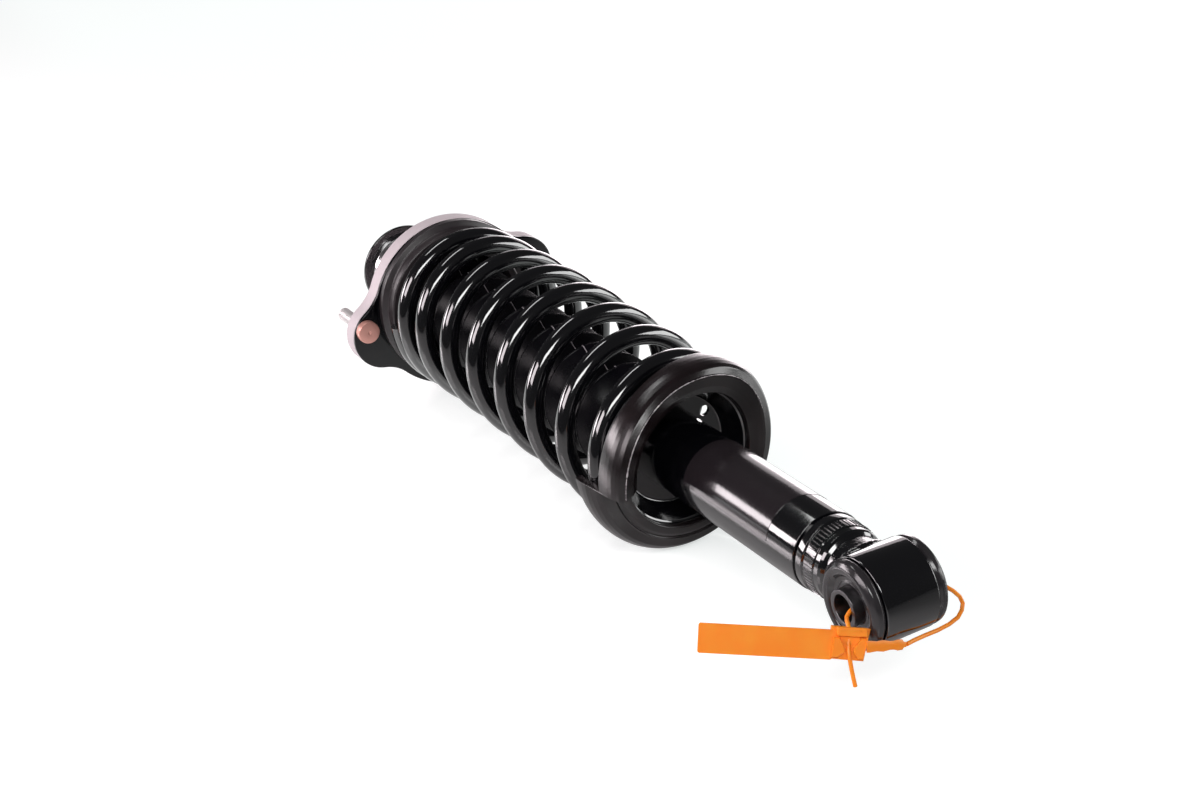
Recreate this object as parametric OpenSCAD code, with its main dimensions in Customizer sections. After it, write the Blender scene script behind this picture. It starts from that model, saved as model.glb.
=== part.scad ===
// Suspension strut: twin-tube damper, coil spring and rubber-mounted top plate, lying on its side.
// Origin: centre of the lower eye's bore. +X runs along the strut to its top mount,
// +Y along the eye's bore, +Z up. Every turned piece is drawn about +Z and laid along +X or +Y.

/* [Lower eye] */
// Outer diameter of the eye ring
eye_d = 52; // [50:1:54]
// Width of the eye ring along its bore
eye_w = 34.4; // [34:0.2:38]
// Wall of the eye ring
eye_wall = 5; // [4:0.5:6]
// Outer diameter of the steel sleeve
sleeve_d = 22; // [20:1:24]
// Bore of the sleeve for an M16 bolt
sleeve_bore = 16.2; // [16.1:0.1:17]
// Length of the sleeve
sleeve_len = 58; // [54:1:62]

/* [Damper] */
// Outer diameter of the damper tube
tube_d = 48; // [48:1:49]
// Wall of the damper tube
tube_wall = 2; // [1.5:0.5:2.5]
// Station of the damper tube's lower end
tube_start = 54; // [54:1:58]
// Station of the damper tube's upper end
tube_end = 338; // [330:1:345]
// Diameter of the piston rod
rod_d = 20; // [16:1:22]
// Bore of the inner pressure tube
cylinder_bore = 35; // [32:1:36]
// Station where the label starts
label_start = 79.7; // [70:0.1:90]
// Length of the label
label_len = 88.3; // [60:0.1:110]

/* [Lower seat] */
// Station of the seat's floor, on the side that faces the eye
seat_floor = 219; // [215:1:225]
// Sheet thickness of the seat
seat_t = 3; // [2:0.5:4]
// Diameter of the drain holes in the seat's floor
drain_d = 7; // [5:1:8]

/* [Coil spring] */
// Mean diameter of the coil
coil_d = 108; // [107:0.5:109]
// Diameter of the spring wire
wire_d = 13; // [12:0.5:13]
// Rise of one free turn
coil_pitch = 40.7; // [40:0.1:42]
// Number of turns
coil_turns = 9; // [8.8:0.1:9]
// Station of the wire's centre at its lower end
coil_start = 203.4; // [202.4:0.1:204.4]
// Sideways bow of the coil at mid height
coil_bow = 5.8; // [0:0.1:6]

/* [Dust boot] */
// Outer diameter over the folds
boot_d = 72; // [68:1:74]
// Inner diameter inside the folds
boot_inner_d = 52; // [51:1:56]
// Distance from fold to fold
boot_pitch = 21.2; // [18:0.1:24]

/* [Top mount] */
// Station of the plate's lower face
plate_face = 528; // [526:1:532]
// Thickness of the pressed plate
plate_t = 3; // [2:0.5:4]
// Thickness of the cast housing behind the plate
housing_t = 13; // [8:1:14]
// Diameter of the plate's round middle
plate_d = 127; // [124:1:130]
// Radius of each lug's end
lug_r = 24.8; // [22:0.1:26]
// Pitch circle of the two studs
stud_pcd = 145; // [140:1:150]
// Diameter of the studs
stud_d = 10; // [8:1:10]
// Standing length of the studs above the housing
stud_len = 26; // [20:1:35]
// Station of the washer above the mount
washer_station = 617; // [600:1:620]

/* [Hidden] */
$fn = 96;

run_gap = 0.05;     // radial clearance of sliding and press fits
skin_gap = 0.03;    // radial clearance under thin shells
part_gap = 0.3;     // clearance between neighbouring curved pieces
rubber_gap = 0.7;   // clearance of rubber around the spring wire

// Radii that several pieces share
eye_r = eye_d / 2;
eye_shift = 1.3;    // how far the ring sits off the middle of its sleeve
eye_inner_r = eye_r - eye_wall;
sleeve_r = sleeve_d / 2;
tube_r = tube_d / 2;
tube_inner_r = tube_r - tube_wall;
rod_r = rod_d / 2;
cyl_r = cylinder_bore / 2;
cyl_wall = 1.5;
coil_r = coil_d / 2;
wire_r = wire_d / 2;

// Stations along the strut
cap_groove = 1.6;
cap_end = tube_start + 10;
valve_end = cap_end + 6;
cyl_end = tube_end - 20;
guide_end = tube_end - 5;
tube_cap_t = 4;
washer_t = 3;
rod_nut_h = 11;
housing_back = plate_face + plate_t + housing_t;
piston_top = 262;
piston_len = 16;
rod_nut_end = washer_station + washer_t + rod_nut_h;

// Seat dish
seat_rim_r = 45.4;
seat_floor_r = 36;
seat_rim_x = seat_floor - 14.3;
seat_hub_wall = 3;
seat_hub_r = tube_r + seat_hub_wall;
seat_hub_len = 13;
drain_r = 30.4;
drain_angles = [145, 25, 265];

// Top mount
lug_x = 58;
lug_z = -10;
lug_fillets = [28, 40];   // hollow fillets clockwise and counterclockwise of each lug
stud_turn = -1.2;   // angle of the studs about the strut
lug_bite = 0.05;    // how far each fillet arc runs into the disc and the lug
mount_hole_r = 26;
stud_head_r = 8.2;
stud_head_t = 5.5;
stud_knurl = 0.4;   // how much thicker the pressed-in shank is than the thread
washer_r = 34;
neck_r = 28.8;

// Piston rod and its small parts
rod_top_r = 7;
rod_foot_r = 6;
rod_nut_r = 12.7;
piston_nut_h = 8;
piston_nut_r = 10.5;
stop_h = 10;
stop_r = 15;
guide_spigot = 6;

// Lay a piece drawn about +Z along +X, with its own z as the station
module along_x() { rotate([0, 90, 0]) children(); }

// Lay a piece drawn about +Z along +Y
module along_y() { rotate([-90, 0, 0]) children(); }

// Ring about +Z from station a to station b
module ring(a, b, outer, inner) {
    translate([0, 0, a]) difference() {
        cylinder(h = b - a, r = outer);
        translate([0, 0, -1]) cylinder(h = b - a + 2, r = inner);
    }
}

// ---------- lower eye ----------

module eye_ring() {
    color("dimgray") along_y()
        ring(eye_shift - eye_w / 2, eye_shift + eye_w / 2, eye_r, eye_inner_r);
}

lip_r = 22.4;
lip_round = 3.4;
lip_y = eye_w / 2 + lip_round + skin_gap;

module bush_rubber() {
    color("#262428") along_y() {
        difference() {
            translate([0, 0, eye_shift]) union() {
                cylinder(h = 2 * lip_y - 2, r = eye_inner_r - skin_gap, center = true);
                for (s = [-1, 1]) translate([0, 0, s * lip_y]) rotate_extrude()
                    translate([lip_r, 0]) circle(r = lip_round, $fn = 48);
            }
            cylinder(h = sleeve_len, r = sleeve_r + run_gap, center = true);
        }
    }
}

module bush_sleeve() {
    color("silver") along_y()
        ring(-sleeve_len / 2, sleeve_len / 2, sleeve_r, sleeve_bore / 2);
}

// Everything that the eye ring takes away from the pieces welded to it
module eye_cut() {
    rotate([90, 0, 0]) cylinder(h = 4 * eye_w, r = eye_r + skin_gap, center = true);
}

weld_r = 19.5;
weld_end = 30;
cap_r = 22;
crimp_r = 23;
crimp_start = 37;
crimp_end = 46;
collar_start = 46.6;
cap_collar_r = 23.4;

module eye_weld() {
    color("#1d1d20") difference() {
        along_x() translate([0, 0, 14]) cylinder(h = weld_end - 14, r1 = weld_r + 1, r2 = weld_r);
        eye_cut();
    }
}

module base_cap() {
    color("#1d1d20") difference() {
        along_x() rotate_extrude() polygon([
            [0, weld_end], [weld_r, weld_end], [cap_r - 0.8, weld_end + 1.2], [cap_r, weld_end + 3],
            [cap_r, crimp_start], [crimp_r, crimp_start + 0.8], [crimp_r, crimp_end - 0.4],
            [cap_r + 0.4, crimp_end], [cap_r + 0.4, collar_start - 0.1], [cap_collar_r, collar_start + 0.4],
            [cap_collar_r, tube_start - cap_groove], [cap_r + 0.6, tube_start - cap_groove],
            [cap_r + 0.6, tube_start], [tube_inner_r - run_gap, tube_start],
            [tube_inner_r - run_gap, cap_end], [0, cap_end]
        ]);
        eye_cut();
    }
}

// ---------- damper ----------

module body_tube() {
    color("#141417") along_x() ring(tube_start, tube_end, tube_r, tube_inner_r);
}

module body_label() {
    color("#2b2b2e") along_x()
        ring(label_start, label_start + label_len, tube_r + 0.25, tube_r + skin_gap);
}

module pressure_tube() {
    color("silver") along_x() ring(valve_end, cyl_end, cyl_r + cyl_wall, cyl_r);
}

module foot_valve() {
    color("silver") along_x() {
        translate([0, 0, cap_end]) cylinder(h = valve_end - cap_end, r = cyl_r + cyl_wall);
        translate([0, 0, valve_end]) cylinder(h = 6, r = cyl_r - run_gap);
    }
}

module rod_guide() {
    color("gray") along_x() difference() {
        union() {
            translate([0, 0, cyl_end]) cylinder(h = guide_end - cyl_end, r = tube_inner_r - run_gap);
            translate([0, 0, cyl_end - guide_spigot]) cylinder(h = guide_spigot, r = cyl_r - run_gap);
        }
        translate([0, 0, cyl_end - guide_spigot - 1])
            cylinder(h = guide_end - cyl_end + guide_spigot + 2, r = rod_r + run_gap);
    }
}

module rod_seal() {
    color("#202022") along_x()
        ring(guide_end, tube_end, tube_inner_r - run_gap, rod_r + run_gap);
}

module tube_cap() {
    color("#141417") along_x() ring(tube_end, tube_end + tube_cap_t, tube_r, rod_r + part_gap);
}

// ---------- lower seat and its rubber ----------

module lower_seat() {
    color("#101013") difference() {
        along_x() rotate_extrude() polygon([
            [tube_r + skin_gap, seat_floor], [seat_floor_r - 0.5, seat_floor],
            [seat_rim_r - 2.2, seat_rim_x + 0.6], [seat_rim_r - 1.2, seat_rim_x],
            [seat_rim_r - 0.4, seat_rim_x], [seat_rim_r, seat_rim_x + 0.8],
            [seat_floor_r + 2.2, seat_floor + seat_t - 1], [seat_floor_r + 1.5, seat_floor + seat_t],
            [seat_hub_r, seat_floor + seat_t], [seat_hub_r, seat_floor + seat_hub_len],
            [tube_r + skin_gap, seat_floor + seat_hub_len]
        ]);
        for (a = drain_angles) rotate([a, 0, 0]) translate([seat_floor - 1, drain_r, 0])
            along_x() cylinder(h = seat_t + 2, r = drain_d / 2);
    }
}

module seat_weld() {
    weld_x = seat_floor + seat_hub_len;
    color("#101013") along_x() rotate_extrude() polygon([
        [tube_r + skin_gap, weld_x], [seat_hub_r, weld_x],
        [tube_r + seat_hub_wall / 3, weld_x + seat_hub_wall], [tube_r + skin_gap, weld_x + seat_hub_wall]
    ]);
}

// Station of the wire's centre after t turns from its lower end: flat, easing into the
// pitch, then easing out again over the closing turns at the top
tip_turns = 0.015;  // share of a turn between the wire's lower tip and the pad's cut end
flat_turns = 0.2;
ease_turns = 0.979;
top_turns = 7;
top_ease = 17.7;
free_start = flat_turns + ease_turns / 2;
function wire_rise(t) =
    t < flat_turns ? 0
    : t < flat_turns + ease_turns ? coil_pitch * pow(t - flat_turns, 2) / (2 * ease_turns)
    : t < top_turns ? coil_pitch * (t - free_start)
    : coil_pitch * (t - free_start) - top_ease * pow(t - top_turns, 2) / 2;
function wire_x(t) = coil_start + wire_rise(t);
coil_end = wire_x(coil_turns);

// The spring's upper end sits off the strut's line, and its middle bows further out
top_offset = [1, 4.5];
bow_start = coil_start + 4.6;
function along(x) = max(0, min(1, (x - bow_start) / (coil_end - bow_start)));
function smooth(s) = let (q = max(0, min(1, s))) q * q * (3 - 2 * q);
function bow(x) = coil_bow * sin(180 * along(x));
function wire_centre(t) = let (x = wire_x(t)) [
    x,
    coil_r * cos(360 * t) + smooth(along(x)) * top_offset[0] + bow(x) / 5,
    coil_r * sin(360 * t) + smooth(along(x)) * top_offset[1] + bow(x)
];

function unit(v) = v / norm(v);

// Two triangles that join points k and k2 of one ring to the same points of the next
function quad(ring_a, ring_b, k, k2) = [
    [ring_a + k, ring_a + k2, ring_b + k2],
    [ring_a + k, ring_b + k2, ring_b + k]
];

// Closed tube swept along points, each ring square to the path and turned from a given side
module sweep(points, radius, sides, side_of) {
    n = len(points);
    rings = [for (i = [0:n - 1])
        let (t = unit(points[min(i + 1, n - 1)] - points[max(i - 1, 0)]),
             u = unit(cross(side_of(points[i]), t)),
             v = cross(t, u))
        [for (k = [0:sides - 1]) points[i]
            + radius * (cos(360 * k / sides) * u + sin(360 * k / sides) * v)]];
    sides_faces = [for (i = [0:n - 2]) for (k = [0:sides - 1])
        for (f = quad(i * sides, (i + 1) * sides, k, (k + 1) % sides)) f];
    first_cap = [[for (k = [0:sides - 1]) sides - 1 - k]];
    last_cap = [[for (k = [0:sides - 1]) (n - 1) * sides + k]];
    polyhedron(points = [for (r = rings) for (p = r) p],
               faces = concat(sides_faces, first_cap, last_cap), convexity = 10);
}

coil_steps = 36;
module coil_spring() {
    count = floor(coil_turns * coil_steps);
    color("#0c0c10") sweep(
        [for (i = [0:count]) wire_centre(tip_turns + (coil_turns - tip_turns) * i / count)],
        wire_r, 12, function (p) [0, p[1], p[2]]);
}

// Lower pad: one closed section that turns about the strut. Each table gives a length for
// the angle about the strut, from +Y to +Z. The wire's flat end is wrapped by a deep sleeve
// from 0 to 180 degrees, and the rest is a shallow channel under the rising wire.
pad_steps = 96;
pad_inner_r = 44.6;
pad_hook_r = seat_rim_r + 0.5;
pad_ridge_r = [[0, 58.4], [140, 58.4], [176, 54], [360, 54]];
pad_front = [[0, 26.4], [20, 26.4], [50, 22.9], [70, 19.6], [90, 18.2], [105, 16.4], [120, 12.9],
    [140, 9.6], [160, 7.9], [180, 6.7], [200, 5.9], [225, 4.4], [260, 2.4], [360, 1.4]];
pad_inner = [[0, 17.4], [50, 16.4], [70, 14.9], [90, 13.4], [105, 11.4], [120, 8.9], [138, 4.9],
    [150, 3.9], [166, 2.4], [180, 2.1], [200, 2.6], [225, 3.9], [260, 5.4], [360, 5.4]];
pad_shoulder = [[0, 19.4], [60, 14.4], [90, 11.4], [120, 7.4], [144, 4.4], [165, -0.6],
    [180, -2.6], [200, -3.6], [225, -3.4], [270, -6.1], [330, -7.6], [360, -7.6]];
pad_rear = [[0, 4.4], [60, 4.4], [75, 1.4], [87, -0.6], [96, -2.6], [110, -5.6], [140, -8.6],
    [180, -11.6], [225, -13.6], [300, -14.6], [330, -16.6], [345, -19.6], [360, -23.6]];
pad_outer = [[0, 64.4], [90, 64.6], [110, 66], [128, 66.6], [145, 65.6], [165, 64.6],
    [230, 63.8], [260, 63.8], [300, 65], [330, 65.6], [360, 65.8]];
function pad_section(a) =
    let (w = wire_x(a / 360),
         g = wire_r + rubber_gap,
         tip_r = lookup(a, pad_ridge_r),
         tip = coil_start - lookup(a, pad_front),
         edge = coil_start - lookup(a, pad_inner),
         outer = lookup(a, pad_outer),
         front = coil_start - lookup(a, pad_shoulder),
         rear = coil_start - lookup(a, pad_rear))
    [
        [pad_inner_r, edge + 1.2], [pad_inner_r + 0.6, edge], [50, (edge + tip) / 2],
        [tip_r - 1.2, tip + 0.5], [tip_r + 0.2, tip],
        [tip_r + 0.55 * (outer - tip_r), tip + 0.3 * (front - tip)],
        [tip_r + 0.88 * (outer - tip_r), tip + 0.65 * (front - tip)],
        [outer, front], [outer, rear], [outer - 1.2, rear + 1.2], [coil_r + g, rear + 1.2],
        [coil_r + g, min(w, rear + 0.6)], [coil_r + g * cos(30), w - g * sin(30)],
        [coil_r + g * cos(60), w - g * sin(60)], [coil_r, w - g],
        [coil_r - g * cos(60), w - g * sin(60)], [coil_r - g * cos(30), w - g * sin(30)],
        [coil_r - g, w], [coil_r - g, w + 3], [pad_hook_r, w + 3],
        [pad_hook_r, seat_rim_x - 0.5], [pad_inner_r, seat_rim_x - 0.8]
    ];
module lower_pad() {
    sections = [for (i = [0:pad_steps - 1]) pad_section(360 * i / pad_steps)];
    m = len(sections[0]);
    color("#2a282c") polyhedron(
        points = [for (i = [0:pad_steps - 1]) for (p = sections[i])
            [p[1], p[0] * cos(360 * i / pad_steps), p[0] * sin(360 * i / pad_steps)]],
        faces = [for (i = [0:pad_steps - 1]) for (k = [0:m - 1])
            for (f = quad(i * m, ((i + 1) % pad_steps) * m, k, (k + 1) % m)) f],
        convexity = 10);
}

// ---------- rod assembly ----------

module piston_rod() {
    color("silver") along_x() {
        translate([0, 0, piston_top]) cylinder(h = plate_face - piston_top, r = rod_r);
        translate([0, 0, plate_face]) cylinder(h = rod_nut_end + 3 - plate_face, r = rod_top_r);
        translate([0, 0, piston_top - piston_len - piston_nut_h - 2])
            cylinder(h = piston_len + piston_nut_h + 2, r = rod_foot_r);
    }
}

module piston() {
    color("gray") along_x() 
        ring(piston_top - piston_len, piston_top, cyl_r - run_gap, rod_foot_r + run_gap);
}

module piston_nut() {
    color("silver") along_x() difference() {
        translate([0, 0, piston_top - piston_len - piston_nut_h])
            cylinder(h = piston_nut_h, r = piston_nut_r, $fn = 6);
        translate([0, 0, piston_top - piston_len - piston_nut_h - 1])
            cylinder(h = piston_nut_h + 2, r = rod_foot_r + run_gap);
    }
}

module rebound_stop() {
    color("#202022") along_x()
        ring(cyl_end - guide_spigot - stop_h, cyl_end - guide_spigot - part_gap, stop_r,
            rod_r + run_gap);
}

// Outline of the bump stop: distance below its top, as a share of its length, and radius
// as a share of its largest radius
bump_len = 60;
bump_r = 22;
bump_outline = [[1, 0.64], [0.92, 0.7], [0.82, 0.66], [0.7, 0.86], [0.6, 0.91], [0.5, 0.82],
    [0.37, 0.95], [0.23, 0.98], [0.13, 0.91], [0, 1]];
module bump_stop() {
    top = plate_face - part_gap;
    color("#3a3836") along_x() rotate_extrude() polygon(concat(
        [[rod_r + run_gap, top - bump_len]],
        [for (p = bump_outline) [p[1] * bump_r, top - p[0] * bump_len]],
        [[rod_r + run_gap, top]]
    ));
}

// Folded boot: outer and inner zigzag with the same wall all along
boot_wall = 1.6;
boot_collar = 6;
boot_top = plate_face - part_gap;
boot_folds = 12;
boot_bottom = boot_top - boot_collar - boot_folds * boot_pitch;
module dust_boot() {
    out_r = boot_d / 2;
    in_r = boot_inner_d / 2;
    color("#17171a") along_x() rotate_extrude() polygon(concat(
        [[in_r + boot_wall, boot_top], [in_r + boot_wall, boot_top - boot_collar]],
        [for (i = [0:boot_folds - 1]) for (p = [
            [out_r, boot_top - boot_collar - (i + 0.5) * boot_pitch],
            [in_r + boot_wall, boot_top - boot_collar - (i + 1) * boot_pitch]]) p],
        [[in_r, boot_bottom]],
        [for (i = [boot_folds - 1:-1:0]) for (p = [
            [out_r - boot_wall, boot_top - boot_collar - (i + 0.5) * boot_pitch],
            [in_r, boot_top - boot_collar - i * boot_pitch]]) p],
        [[in_r, boot_top]]
    ));
}

// ---------- top mount ----------

pad_flange_r = 59.7;
pad_flange_t = 5;
pad_body_r = 55.2;
pad_bore_r = 38;
pad_collar_r = 45.2;
pad_collar_len = 11;
module upper_pad() {
    face = coil_end + wire_r + rubber_gap;
    slope = plate_face - pad_flange_t;
    color("#3a383c") difference() {
        translate([0, top_offset[0], top_offset[1]]) along_x() rotate_extrude() polygon([
            [0, face - pad_collar_len], [pad_collar_r - 1.5, face - pad_collar_len],
            [pad_collar_r, face - pad_collar_len + 2], [pad_collar_r, face],
            [pad_body_r - 1, face], [pad_body_r, face + 1], [pad_body_r, slope - 2],
            [pad_flange_r, slope], [pad_flange_r, plate_face], [0, plate_face]
        ]);
        translate([face - pad_collar_len - 1, 0, 0])
            along_x() cylinder(h = plate_face - face + pad_collar_len + 2, r = pad_bore_r);
    }
}

// ---------- plate, housing and their small parts ----------

// Flange outline in the Y-Z plane: a disc and two opposite lugs with hollow fillets
module lug_web(s) {
    centre = s * [lug_x, lug_z];
    d = norm(centre);
    base = atan2(centre[1], centre[0]);
    for (m = [-1, 1]) {
        fillet = lug_fillets[m < 0 ? 0 : 1];
        r1 = plate_d / 2 + fillet - lug_bite;
        r2 = lug_r + fillet - lug_bite;
        along = (d * d + r1 * r1 - r2 * r2) / (2 * d);
        side = sqrt(r1 * r1 - along * along);
        apex = [along * cos(base) - m * side * sin(base), along * sin(base) + m * side * cos(base)];
        difference() {
            polygon(m > 0 ? [[0, 0], centre, apex] : [[0, 0], apex, centre]);
            translate(apex) circle(r = fillet);
        }
    }
}
module flange(a, b) {
    along_x() translate([0, 0, a]) rotate([0, 0, 90]) difference() {
        linear_extrude(height = b - a) union() {
            circle(r = plate_d / 2, $fn = 180);
            for (s = [-1, 1]) {
                translate(s * [lug_x, lug_z]) circle(r = lug_r);
                lug_web(s);
            }
        }
        translate([0, 0, -1]) cylinder(h = b - a + 2, r = mount_hole_r);
        for (s = [0, 180]) rotate([0, 0, s + stud_turn]) translate([stud_pcd / 2, 0, -1])
            cylinder(h = b - a + 2, r = stud_d / 2 + stud_knurl + run_gap);
    }
}

module mount_plate() { color("#141417") flange(plate_face, plate_face + plate_t); }

module mount_housing() { color("silver") flange(plate_face + plate_t, housing_back); }

module mount_studs() {
    color("#d8a48c") for (s = [0, 180])
        rotate([s + stud_turn, 0, 0]) translate([0, stud_pcd / 2, 0]) along_x() {
        translate([0, 0, plate_face - stud_head_t]) cylinder(h = stud_head_t, r = stud_head_r);
        translate([0, 0, plate_face])
            cylinder(h = housing_back - plate_face, r = stud_d / 2 + stud_knurl);
        translate([0, 0, housing_back]) cylinder(h = stud_len, r = stud_d / 2);
    }
}

module mount_bush() {
    color("#202022") along_x()
        ring(plate_face, housing_back, mount_hole_r - run_gap, rod_top_r + run_gap);
}

module mount_neck() {
    color("silver") along_x() ring(housing_back, washer_station, neck_r, rod_top_r + run_gap);
}

module rod_washer() {
    color("#1a1a1d") along_x()
        ring(washer_station, washer_station + washer_t, washer_r, rod_top_r + run_gap);
}

module rod_nut() {
    color("silver") along_x() difference() {
        translate([0, 0, washer_station + washer_t])
            cylinder(h = rod_nut_h, r = rod_nut_r, $fn = 6);
        translate([0, 0, washer_station])
            cylinder(h = washer_t + rod_nut_h + 1, r = rod_top_r + run_gap);
    }
}

// ---------- security seal through the eye ----------

// Centre of the seal's lock and how the flag turns from it
seal_at = [-17.4, 38, -9];
seal_turn = [-64.3, -8.4, 58.9];
flag_len = 68;
flag_h = 16;
lock_len = 22;
lock_h = 18;
lock_t = 7;
strap_r = 1.2;

module in_seal() { translate(seal_at) rotate(seal_turn) children(); }

module seal_flag() {
    color("#ef5a1c") in_seal() translate([lock_len / 2, -flag_h / 2 + 1, -0.7])
        cube([flag_len, flag_h, 1.4]);
}

module seal_head() {
    slot = 2 * strap_r + 0.6;
    color("#ef5a1c") in_seal() difference() {
        translate([-lock_len / 2, -lock_h / 2, -lock_t / 2]) cube([lock_len, lock_h, lock_t]);
        translate([-slot / 2, -lock_h, -slot / 2]) cube([slot, 2 * lock_h, slot]);
    }
}

// Flat neck from the lock to the strap, below the eye ring
neck_from = [-25, 28, -11];
neck_to = [-25, 7, -18.2];
module seal_neck() {
    d = neck_to - neck_from;
    color("#ef5a1c") translate(neck_from)
        rotate([0, atan2(-d[2], norm([d[0], d[1]])), atan2(d[1], d[0])])
        translate([0, -0.9, -2.5]) cube([norm(d), 1.8, 5]);
}

// The strap runs on from the neck behind the eye, comes back through the bore and drops
// through the lock
strap_points = [
    [-25, 6.6, -18.2], [-23.8, 1, -18.7], [-21.6, -8, -20.3], [-20.4, -17, -21.4],
    [-19, -26, -21.8], [-17.8, -33, -20.8], [-16.2, -37, -18.6], [-14.6, -39, -15.8],
    [-13, -38.4, -12.2], [-10.6, -35.8, -8.6], [-7.8, -32.6, -5.8], [-5.4, -29.4, -4],
    [-5, -25, -3], [-4.4, -14, -2.4], [-4, 0, -2.4], [-4.4, 14, -1], [-4.8, 23, 1],
    [-5.6, 29.2, 2], [-8.4, 32, 3.2], [-11.6, 33.8, 3.2], [-13.9, 34.4, 1],
    [-15.1, 35.3, -2.3], [-17.4, 38, -9], [-20.1, 41, -17], [-23.4, 41.9, -22.8], [-27.2, 42, -29.6]
];
module seal_strap() {
    color("#ef5a1c") sweep(strap_points, strap_r, 8, function (p) p - [-14, 2, -10]);
}

eye_ring();
eye_weld();
bush_rubber();
bush_sleeve();
base_cap();
body_tube();
body_label();
pressure_tube();
foot_valve();
rod_guide();
rod_seal();
tube_cap();
lower_seat();
seat_weld();
lower_pad();
coil_spring();
piston_rod();
piston();
piston_nut();
rebound_stop();
bump_stop();
dust_boot();
upper_pad();
mount_plate();
mount_housing();
mount_studs();
mount_bush();
mount_neck();
rod_washer();
rod_nut();
seal_flag();
seal_head();
seal_neck();
seal_strap();
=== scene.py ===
# %% [markdown]
# # A car's suspension strut, dressed for the camera
#
# A strut is a damper with a coil spring round it. This one lies on its side: its lower eye,
# with a rubber bush and an orange security seal, points at us, and its top mount is furthest
# away. The solid model gives every piece its place. This lesson gives each one its finish:
# gloss black paint, satin rubber, bare cast metal, zinc and orange plastic.

# %% Load the frame
import math
import random

import bmesh
import bpy
from mathutils import Matrix, Vector


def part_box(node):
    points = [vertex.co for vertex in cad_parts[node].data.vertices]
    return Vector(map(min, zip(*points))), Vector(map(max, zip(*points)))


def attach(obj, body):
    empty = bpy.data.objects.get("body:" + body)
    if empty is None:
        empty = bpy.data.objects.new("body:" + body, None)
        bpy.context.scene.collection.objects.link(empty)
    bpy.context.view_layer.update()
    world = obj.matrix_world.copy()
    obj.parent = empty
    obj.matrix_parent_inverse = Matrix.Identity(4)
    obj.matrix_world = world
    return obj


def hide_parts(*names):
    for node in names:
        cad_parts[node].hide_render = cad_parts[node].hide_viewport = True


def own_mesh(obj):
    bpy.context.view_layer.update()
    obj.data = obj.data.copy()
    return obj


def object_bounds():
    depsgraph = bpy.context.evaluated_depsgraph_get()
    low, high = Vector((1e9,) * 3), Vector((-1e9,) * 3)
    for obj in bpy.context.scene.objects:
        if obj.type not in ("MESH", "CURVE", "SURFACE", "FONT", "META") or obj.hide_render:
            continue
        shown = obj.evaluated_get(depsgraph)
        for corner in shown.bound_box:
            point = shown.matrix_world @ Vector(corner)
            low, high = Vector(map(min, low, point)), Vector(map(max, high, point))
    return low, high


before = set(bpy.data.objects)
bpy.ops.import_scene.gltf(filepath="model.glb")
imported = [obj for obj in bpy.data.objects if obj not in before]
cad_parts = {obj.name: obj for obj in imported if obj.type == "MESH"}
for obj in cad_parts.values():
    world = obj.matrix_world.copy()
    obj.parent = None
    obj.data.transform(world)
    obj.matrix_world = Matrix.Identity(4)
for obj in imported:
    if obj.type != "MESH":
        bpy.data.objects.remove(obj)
cad_box = [list(corner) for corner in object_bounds()]

# %% [markdown]
# ## Sizes
#
# Lengths are written in millimetres, as on a workshop drawing, and turned into metres when a
# mesh is made. The strut's axis is +X from the eye to the top mount, the eye's bore is +Y, and
# +Z is up. A place along the axis is a station. What the solid model already knows is read
# from its pieces' boxes, so that a size has one home.

# %% Sizes from the solid model
MM = 0.001
# Surfaces that touch on the real strut are kept this far apart, in millimetres.
TOUCH_GAP = 0.03


def box_mm(node):
    """Lowest and highest corner of a node, in millimetres."""
    return [[v / MM for v in corner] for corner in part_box(node)]


(_, EYE_LOW, _), (_, EYE_HIGH, EYE_R) = box_mm("eye_ring")
_, (_, SLEEVE_HALF, SLEEVE_R) = box_mm("bush_sleeve")
(TUBE_START, _, _), (TUBE_END, _, TUBE_R) = box_mm("body_tube")
(LABEL_START, _, _), (LABEL_END, _, _) = box_mm("body_label")
(PLATE_FACE, _, _), (PLATE_BACK, _, PLATE_R) = box_mm("mount_plate")
(STUD_FACE, _, _), (STUD_TOP, _, _) = box_mm("mount_studs")
(BOOT_START, _, _), (BOOT_END, _, BOOT_R) = box_mm("dust_boot")
HOUSING_BACK = box_mm("mount_housing")[1][0]
WASHER_STATION = box_mm("rod_washer")[0][0]

# %% [markdown]
# ## Camera
#
# A product picture of a long thing is taken from one end with a moderately long lens, so the
# near end looks a little larger. The camera stands in front of the eye, to its left and above,
# and its three axes are written out, because a small roll is easier to keep in a matrix than
# in angles.

# %% Camera
LENS_MM = 61.24
CAMERA_AT = Vector((-0.7673, 0.5482, 0.5758))
CAMERA_RIGHT = Vector((-0.4930, -0.8643, -0.1000))
CAMERA_UP = Vector((0.3311, -0.2927, 0.8970))
CAMERA_BACK = Vector((-0.8045, 0.4091, 0.4305))


def place_object(name, data):
    """A new object in the scene, at the origin, unturned and unscaled."""
    piece = bpy.data.objects.new(name, data)
    bpy.context.scene.collection.objects.link(piece)
    return piece


def make_camera():
    """Camera with a moderately long lens, placed by its own right, up and back directions."""
    data = bpy.data.cameras.new("camera")
    data.lens = LENS_MM
    data.sensor_width = 36.0
    data.clip_end = 60.0
    camera = place_object("camera", data)
    columns = Matrix((CAMERA_RIGHT, CAMERA_UP, CAMERA_BACK)).transposed()
    camera.matrix_world = Matrix.Translation(CAMERA_AT) @ columns.to_4x4()
    bpy.context.scene.camera = camera
    return camera


camera = make_camera()
print("camera at", [round(v, 3) for v in camera.matrix_world.translation])

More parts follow.
